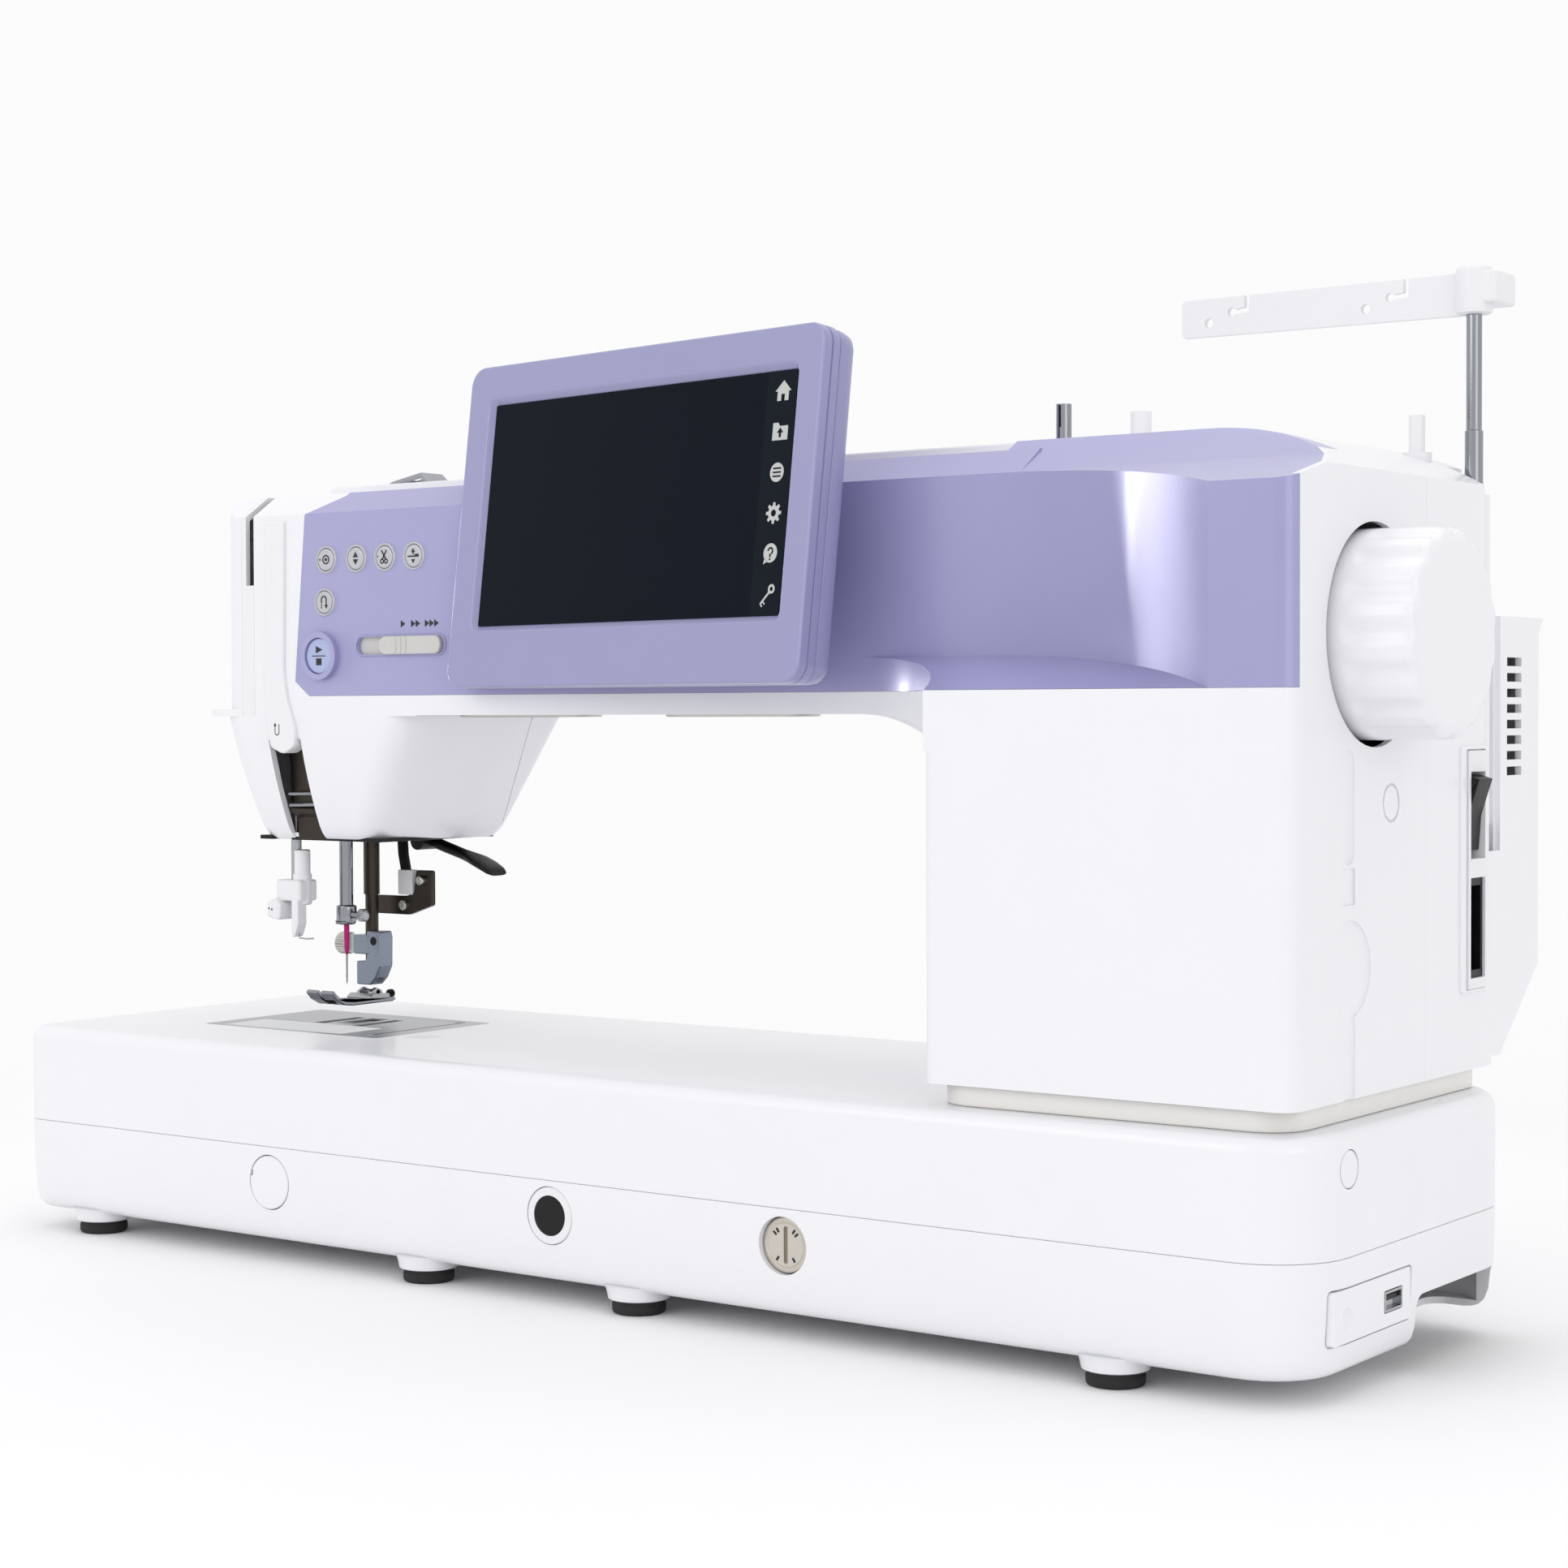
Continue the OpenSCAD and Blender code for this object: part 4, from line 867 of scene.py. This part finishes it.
def head():
    levels = [(HEAD_TOP, 0), (226, 0), (220, 0), (212, 0), (204, 0), (196, 0), (188, 0), (183, 0.1),
              (180, 0.6), (178, 1.5), (176.9, 2.6), (176.3, 3.8)]
    shell = loft([put(head_outline(z, d), "z", z) for z, d in levels])
    cavity = loft([put(head_outline(z, 3), "z", z) for z in (240, 220, 200, 179.5)])
    opening = box_prism((91, 66.5), (159, 134), 4, "z", 170, 182)
    slot = prism(rounded([(111.5, 168), (131, 168), (127.6, 222), (107.5, 222)], 1.5), "y", 30, 64)
    recess = pillow(box_outline((62.5, 195), (80, 209), 5), "x", 184.5, 210, 3)
    shell = cut(shell, cavity, opening, slot, recess, head_seam())
    piece("head_shell", shell, "white_gloss", limit=32)
    strip = [(61, 224, 109, 127), (61.6, 205, 110.6, 128.4), (62.4, 193, 111.6, 129.4),
             (60, 190.5, 111.8, 129.7), (60.2, 188.6, 112, 129.8), (63.4, 186.5, 112.2, 130),
             (63.8, 176.6, 113, 130.6)]
    rings = [put(box_outline((a, y), (b, y + 0.9)), "z", z) for y, z, a, b in strip]
    piece("head_guard_strip", loft(rings), "gunmetal", bevel=0.2)
    spring = tube([(112.6, 58.6, 197), (129, 58.6, 197.4), (130.5, 60.6, 197.4)], 0.8, 10)
    second = tube([(112.9, 58.8, 192), (129.6, 58.8, 192.4), (131, 60.6, 192.4)], 0.8, 10)
    piece("head_thread_guides", joined(spring, second), "chrome")
    band = pillow(rounded([(108.6, 318), (107.4, 250), (108.6, 228), (111, 218), (119, 214.6),
            (125.6, 218.4), (126.4, 226), (121.4, 240), (119.4, 252), (120.4, 318)],
            [1, 30, 20, 3, 6, 3, 10, 20, 30, 1], 5), "y", 48.3, 56, 1)
    piece("channel_band", band, "white_satin", limit=50)
    turn_mark = (ring_parts((0, -0.3), 0.42, 0.3, 180, 360, 10)
                 + bars(((-0.42, -0.3), (-0.3, 0.55)), ((0.3, -0.3), (0.42, 0.75)))
                 + [[(-0.62, 0.5), (-0.1, 0.5), (-0.36, 0.95)]])
    piece("channel_marks", icon(turn_mark, (115.6, 225.6), 3.4, 48.34), "icon_dark")


def light_rims():
    rims = []
    for left, right in ((205, 273), (318, 386)):
        outer = box_outline((left - 1.5, 64.5), (right + 1.5, 89.5), 11.5, 10)
        inner = box_outline((left + 1, 67), (right - 1, 87), 9.5, 10)
        rims.append(cut(pillow(outer, "z", 231, 232.4, 0.7), prism(inner, "z", 230, 234)))
    piece("work_light_rims", joined(*rims), "zinc")


def switch_rim():
    """Raised edge round the switch and inlet in the right wall."""
    rim_outer = box_outline((141.5, 128.5), (167, 219.8), 2.5)
    rim_inner = box_outline((145.6, 129.8), (163.4, 218.4), 1)
    rim = cut(pillow(rim_outer, "x", TOWER_RIGHT - 1, TOWER_RIGHT + 1.2, 0, 1),
              prism(rim_inner, "x", 620, 640))
    piece("switch_rim", rim, "white_gloss", limit=50)


# ---------------- parts round the needle
def foot_parts():
    """Sewing foot with two upturned toes, its ankle pin and the small black release knob."""
    side_line = [(70.6, 107), (73.6, 103.9), (78.6, 101.4), (84, 100.75), (110, 100.75), (111.6, 101.4),
                 (111.9, 102.4), (110, 102.8), (85, 102.8), (79.4, 103.4), (75.2, 105.5), (71.8, 108.4)]
    sole = pillow(rounded(side_line, 0.35, 2), "x", NEEDLE_X - 8.4, NEEDLE_X + 8.4, 0.6, 0.6, 3)
    window = pillow(box_outline((NEEDLE_X - 5.6, 83.4), (NEEDLE_X + 5.6, 92), 1.4), "z", 96, 106, 0, 0)
    toe_gap = prism(rounded([(NEEDLE_X - 1.1, 60), (NEEDLE_X + 1.1, 60), (NEEDLE_X + 1.1, 85),
            (NEEDLE_X - 1.1, 85)], 0.5), "z", 96, 112)
    sole = cut(sole, window, toe_gap)
    ears = [pillow(rounded([(98.2, 102), (107, 102), (106.6, 106), (103, 107.4), (99.4, 105.6)], 0.8, 3),
                   "x", x, x + 1.8, 0.3, 0.3) for x in (NEEDLE_X - 4.6, NEEDLE_X + 2.8)]
    saddle = pillow(rounded([(94, 102.4), (109.4, 102.4), (108.4, 104.6), (98, 104.9)], 0.7, 3), "x",
                    NEEDLE_X - 7.4, NEEDLE_X + 7.4, 0.5, 0.5)
    piece("foot_sole", sole, "chrome", "presser_foot", "presser_foot", limit=50)
    piece("foot_ears", joined(saddle, *ears), "steel", "presser_foot", limit=50)
    pin = turned([(NEEDLE_X - 4.6, 1.2), (NEEDLE_X + 4.6, 1.2)], "x", FOOT_PIN, 24)
    piece("foot_pin", pin, "chrome", "presser_foot")
    knob = knurled((109.4, 112.9), 1.9, (NEEDLE_X + 5.4, 104.1), "y", 16)
    piece("foot_knob", knob, "black_plastic", "presser_foot")


def bracket_parts():
    """Dark bracket of the upper feed with its screws, white block and strap."""
    plate = pillow(rounded([(108, 140.4), (132, 140.4), (146, 145), (146, 161), (136.4, 161),
            (135, 150.4), (130, 149), (108, 148.8)], [0.6, 4, 1.5, 1.2, 1.2, 2, 2, 0.6], 4), "y", 114.6,
                   117.4, 0.35, 0.35)
    piece("upper_feed_bracket", plate, "gunmetal", stands_for="dual_feed_bracket", limit=50)
    screws = []
    for x, z in ((140.6, 156.4), (129.8, 144.8)):
        head_shape = turned([(114.8, 2.3), (112.6, 2.3), (112, 1.9), (111.8, 0)], "y", (x, z), 32)
        cross = fused(box_prism((x - 1.3, z - 0.3), (x + 1.3, z + 0.3), 0, "y", 111, 112.5),
                box_prism((x - 0.3, z - 1.3), (x + 0.3, z + 1.3), 0, "y", 111, 112.5))
        screws.append(cut(head_shape, cross))
    piece("bracket_screws", joined(*screws), "zinc", bevel=0.08)
    block = pillow(box_outline((125.6, 149.6), (134.6, 161), 0.8), "y", 113.9, 118.4, 0.5, 0.5)
    piece("bracket_block", block, "white_satin", limit=50)
    strap = loft([put(box_outline((126 + lean, 115), (131.6 + lean, 116.6)), "z", z)
                  for z, lean in ((160, 0.6), (168, -1.2), (176.1, -1.8))])
    piece("bracket_strap", strap, "black_plastic", bevel=0.3)


def threader_parts():
    """Needle threader: sleeve, its white carrier, thread guide arm and fork."""
    x, y = 103, 72
    rod = turned([(150, 2.2), (150.4, 2.4), (214, 2.4), (214.6, 2)], "z", (x, y), 32)
    sleeve = turned([(146.5, 3.6), (147.2, 4.2), (160, 4.2), (160.8, 3.6), (171, 3.6), (171.4, 3)], "z",
                    (x + 3.4, y + 0.3), 32)
    carrier = pillow(rounded([(95, 66.4), (110.4, 66.4), (110.4, 78.2), (99, 78.2), (95, 74)],
            [1.5, 1.5, 2, 3, 2], 5), "z", 148.2, 157.8, 1.2, 1.2)
    arm = pillow(rounded([(91.4, 141), (99.6, 139.4), (100.2, 146.4), (97, 149.8), (91.4, 147.6)], 1.6,
            5), "y", 64.2, 75.8, 1, 1)
    fork = pillow(rounded([(105.2, 132.2), (107, 132.2), (109.4, 138), (109.4, 149), (105.2, 149)], 0.7,
            3), "y", 66.2, 71.8, 0.5, 0.5)
    piece("threader_body", joined(sleeve, carrier, arm, fork), "white_satin", "needle_threader",
          "needle_threader", limit=50)
    piece("threader_rod", rod, "steel", "needle_threader")
    dots = [circle((-2.4, 0.1), 0.28, 12), [(-1.7, -0.4), (-1.2, 0.4), (-1.0, -0.4)]]
    piece("threader_marks", icon(dots, (97, 144.6), 1.6, 64.24), "icon_dark", "needle_threader")
    hook = tube([(107.6, 69, 134), (107.6, 69, 131.6), (109.6, 71, 131.2), (111.6, 74, 131.2)], 0.35, 8)
    piece("threader_hook", hook, "chrome", "needle_threader")


def clamp_parts():
    """Needle bar, the clamp at its end and the clamp's screw."""
    bar_mesh = turned([(143, 2.9), (143.3, 3.1), (296.6, 3.1), (297, 2.9)], "z", NEEDLE, 40)
    clamp = turned([(137, 3.4), (137.4, 4), (139, 4.6), (145, 4.6), (145.8, 4.1), (146, 3.4)], "z",
                   NEEDLE, 40)
    screw = joined(turned([(NEEDLE_X + 3.5, 1.6), (NEEDLE_X + 8.4, 1.6)], "x", CLAMP_SCREW, 24),
                   knurled((NEEDLE_X + 8.2, 129.9), 2.9, CLAMP_SCREW, "x", 18))
    guide = tube([(NEEDLE_X - 3.6, NEEDLE_Y - 3, 138.6), (NEEDLE_X - 1, NEEDLE_Y - 5.4, 137.8),
                  (NEEDLE_X + 3, NEEDLE_Y - 4.6, 138.2)], 0.45, 10)
    piece("needle_bar_rod", joined(bar_mesh, clamp, guide), "chrome", "needle_bar", "needle_bar",
          limit=50)
    piece("needle_clamp_screw", screw, "steel", "needle_bar", limit=50)


def lifter_parts():
    """Hand lever of the sewing foot, curved down to a broad finger end."""
    pivot = turned([(113.2, 3.6), (113.8, 4.2), (126.4, 4.2), (127, 3.6)], "y", LEVER_PIVOT, 32)
    rings = []
    for x, z, half, thick, y in ((139, 174.4, 3.2, 2.4, 121.8), (150, 171.3, 3.2, 2.4, 121.6),
            (160, 168.6, 3.4, 2.3, 121.2), (166, 167.2, 4.8, 2.4, 120.4), (171, 165.9, 6.4, 2.4, 119.8),
            (176, 163.9, 6.9, 2.2, 119.7), (180, 161.9, 6.8, 1.8, 119.7), (182, 160.7, 5.6, 1.1, 119.7)):
        ring = [Vector((x, y + half * math.copysign(abs(math.cos(a)) ** 0.7, math.cos(a)), z
                + thick * math.copysign(abs(math.sin(a)) ** 0.8, math.sin(a))))
                for a in [2 * math.pi * i / 24 for i in range(24)]]
        rings.append(ring)
    piece("lifter_lever", joined(pivot, loft(rings)), "black_plastic", "presser_lifter", "presser_lifter",
          limit=55)


# ---------------- kept CAD nodes
KEPT = {
    "cast_metal": ("machine_frame", "needle_support", "feed_bar"),
    "brushed_steel": ("needle_plate", "top_thread_guide"),
    "black_plastic": ("bobbin_case", "power_inlet", "head_bottom_plate", "power_switch"),
    "rubber": ("drive_belts",),
    "motor_dark": ("motor",),
    "board_green": ("control_board",),
    "warm_grey": ("tower_plinth",),
    "white_gloss": ("top_cover",),
    "white_satin": ("switch_panel", "top_fittings", "plate_release_key"),
    "clear_plastic": ("work_light_lenses", "bobbin", "bobbin_cover"),
    "steel": ("main_shaft", "lower_shaft", "motor_pulley", "feed_dogs"),
    "chrome": ("rotary_hook", "take_up_lever", "winder_spindle"),
    "gunmetal": ("presser_bar",),
}
BEVELS = {"top_cover": 0.8, "tower_plinth": 0.8}


def kept_nodes():
    for material, nodes in KEPT.items():
        for node in nodes:
            keep(node, material, BEVELS.get(node, EASED))


# ---------------- studio
CAMERA_AT = (1064.2, -870.0, 233.6)
CAMERA_YAW = 36.139
CAMERA_PITCH = -1.441
CAMERA_ROLL = -0.2
CAMERA_LENS = 67.41
SENSOR_WIDTH = 36
FAR_CLIP = 50
WORLD_LIGHT = 0.92
WORLD_SEEN = 0.97
FLOOR_HALF = 3
FADE_START = 0.45
FADE_END = 1.3
MIDDLE = (0, 0, 0.2)
SOFTBOXES = (("key", (-0.7, -2.2, 1.3), 1.6, 1.4, 9),
             ("fill", (2.1, -1.0, 0.8), 1.2, 1.2, 4),
             ("top", (0.1, 0.3, 2.0), 2.0, 1.4, 6))
STRIP_AT = (-2390, -470, 330)
STRIP_AIM = (560, 30, 280)


def make_camera():
    data = bpy.data.cameras.new("camera")
    data.lens = CAMERA_LENS
    data.sensor_width = SENSOR_WIDTH
    data.clip_end = FAR_CLIP
    target = placed("camera", data)
    turn = Matrix.Rotation(math.radians(CAMERA_YAW), 4, "Z")
    lift = Matrix.Rotation(math.radians(90 + CAMERA_PITCH), 4, "X")
    lean = Matrix.Rotation(math.radians(CAMERA_ROLL), 4, "Z")
    target.matrix_world = Matrix.Translation(at(*CAMERA_AT)) @ turn @ lift @ lean
    SCENE.camera = target


def softbox(name, place, aim, width, height, power):
    data = bpy.data.lights.new(name, "AREA")
    data.shape = "RECTANGLE"
    data.size = width
    data.size_y = height
    data.energy = power
    target = placed(name, data)
    target.location = place
    target.rotation_euler = (Vector(aim) - Vector(place)).to_track_quat("-Z", "Y").to_euler()
    return target


def make_world():
    """White surroundings, brighter in the picture than as a source of light."""
    world = bpy.data.worlds.new("studio")
    world.use_nodes = True
    nodes = world.node_tree.nodes
    links = world.node_tree.links
    background = nodes["Background"]
    background.inputs["Color"].default_value = (1, 1, 1, 1)
    path = nodes.new("ShaderNodeLightPath")
    strength = new_node(nodes, "MapRange", {"To Min": WORLD_LIGHT, "To Max": WORLD_SEEN})
    links.new(path.outputs["Is Camera Ray"], strength.inputs["Value"])
    links.new(strength.outputs["Result"], background.inputs["Strength"])
    SCENE.world = world


def floor_material():
    """Pale floor that fades into the surroundings away from the machine."""
    material = node_material("floor", (246, 246, 247), vary=0.004, roughness=0.8, scale=3)
    nodes = material.node_tree.nodes
    links = material.node_tree.links
    place = nodes.new("ShaderNodeTexCoord")
    reach = nodes.new("ShaderNodeVectorMath")
    reach.operation = "LENGTH"
    links.new(place.outputs["Object"], reach.inputs[0])
    fade = new_node(nodes, "MapRange", {"From Min": FADE_START, "From Max": FADE_END})
    fade.interpolation_type = "SMOOTHSTEP"
    links.new(reach.outputs["Value"], fade.inputs["Value"])
    clear = nodes.new("ShaderNodeBsdfTransparent")
    mix = nodes.new("ShaderNodeMixShader")
    links.new(fade.outputs["Result"], mix.inputs["Fac"])
    links.new(nodes["Principled BSDF"].outputs["BSDF"], mix.inputs[1])
    links.new(clear.outputs["BSDF"], mix.inputs[2])
    links.new(mix.outputs["Shader"], nodes["Material Output"].inputs["Surface"])
    return material


def make_studio():
    square = box_outline((-FLOOR_HALF, -FLOOR_HALF), (FLOOR_HALF, FLOOR_HALF))
    floor = placed("floor", prism(square, "z", -0.02, 0))
    floor.data.materials.append(floor_material())
    make_world()
    for name, place, width, height, power in SOFTBOXES:
        softbox(name, place, MIDDLE, width, height, power)
    # highlight of the photograph on the lavender front, seen only in that piece's gloss
    strip = softbox("strip", at(*STRIP_AT), at(*STRIP_AIM), 0.5, 1.4, 90)
    strip.visible_diffuse = False
    receivers = bpy.data.collections.new("strip_receivers")
    receivers.objects.link(bpy.data.objects["fascia_shell"])
    strip.light_linking.receiver_collection = receivers
    SCENE.view_settings.view_transform = "Standard"


BUILDERS = (bed_top, bed_bottom, bed_fittings, side_port, screen, screen_icons, handwheel, buttons,
            start_button, speed_marks, needle_parts, holder_parts, mast_parts, covers, head, light_rims,
            switch_rim, foot_parts, bracket_parts, threader_parts, clamp_parts, lifter_parts)
for build in BUILDERS:
    build()
kept_nodes()
make_camera()
make_studio()
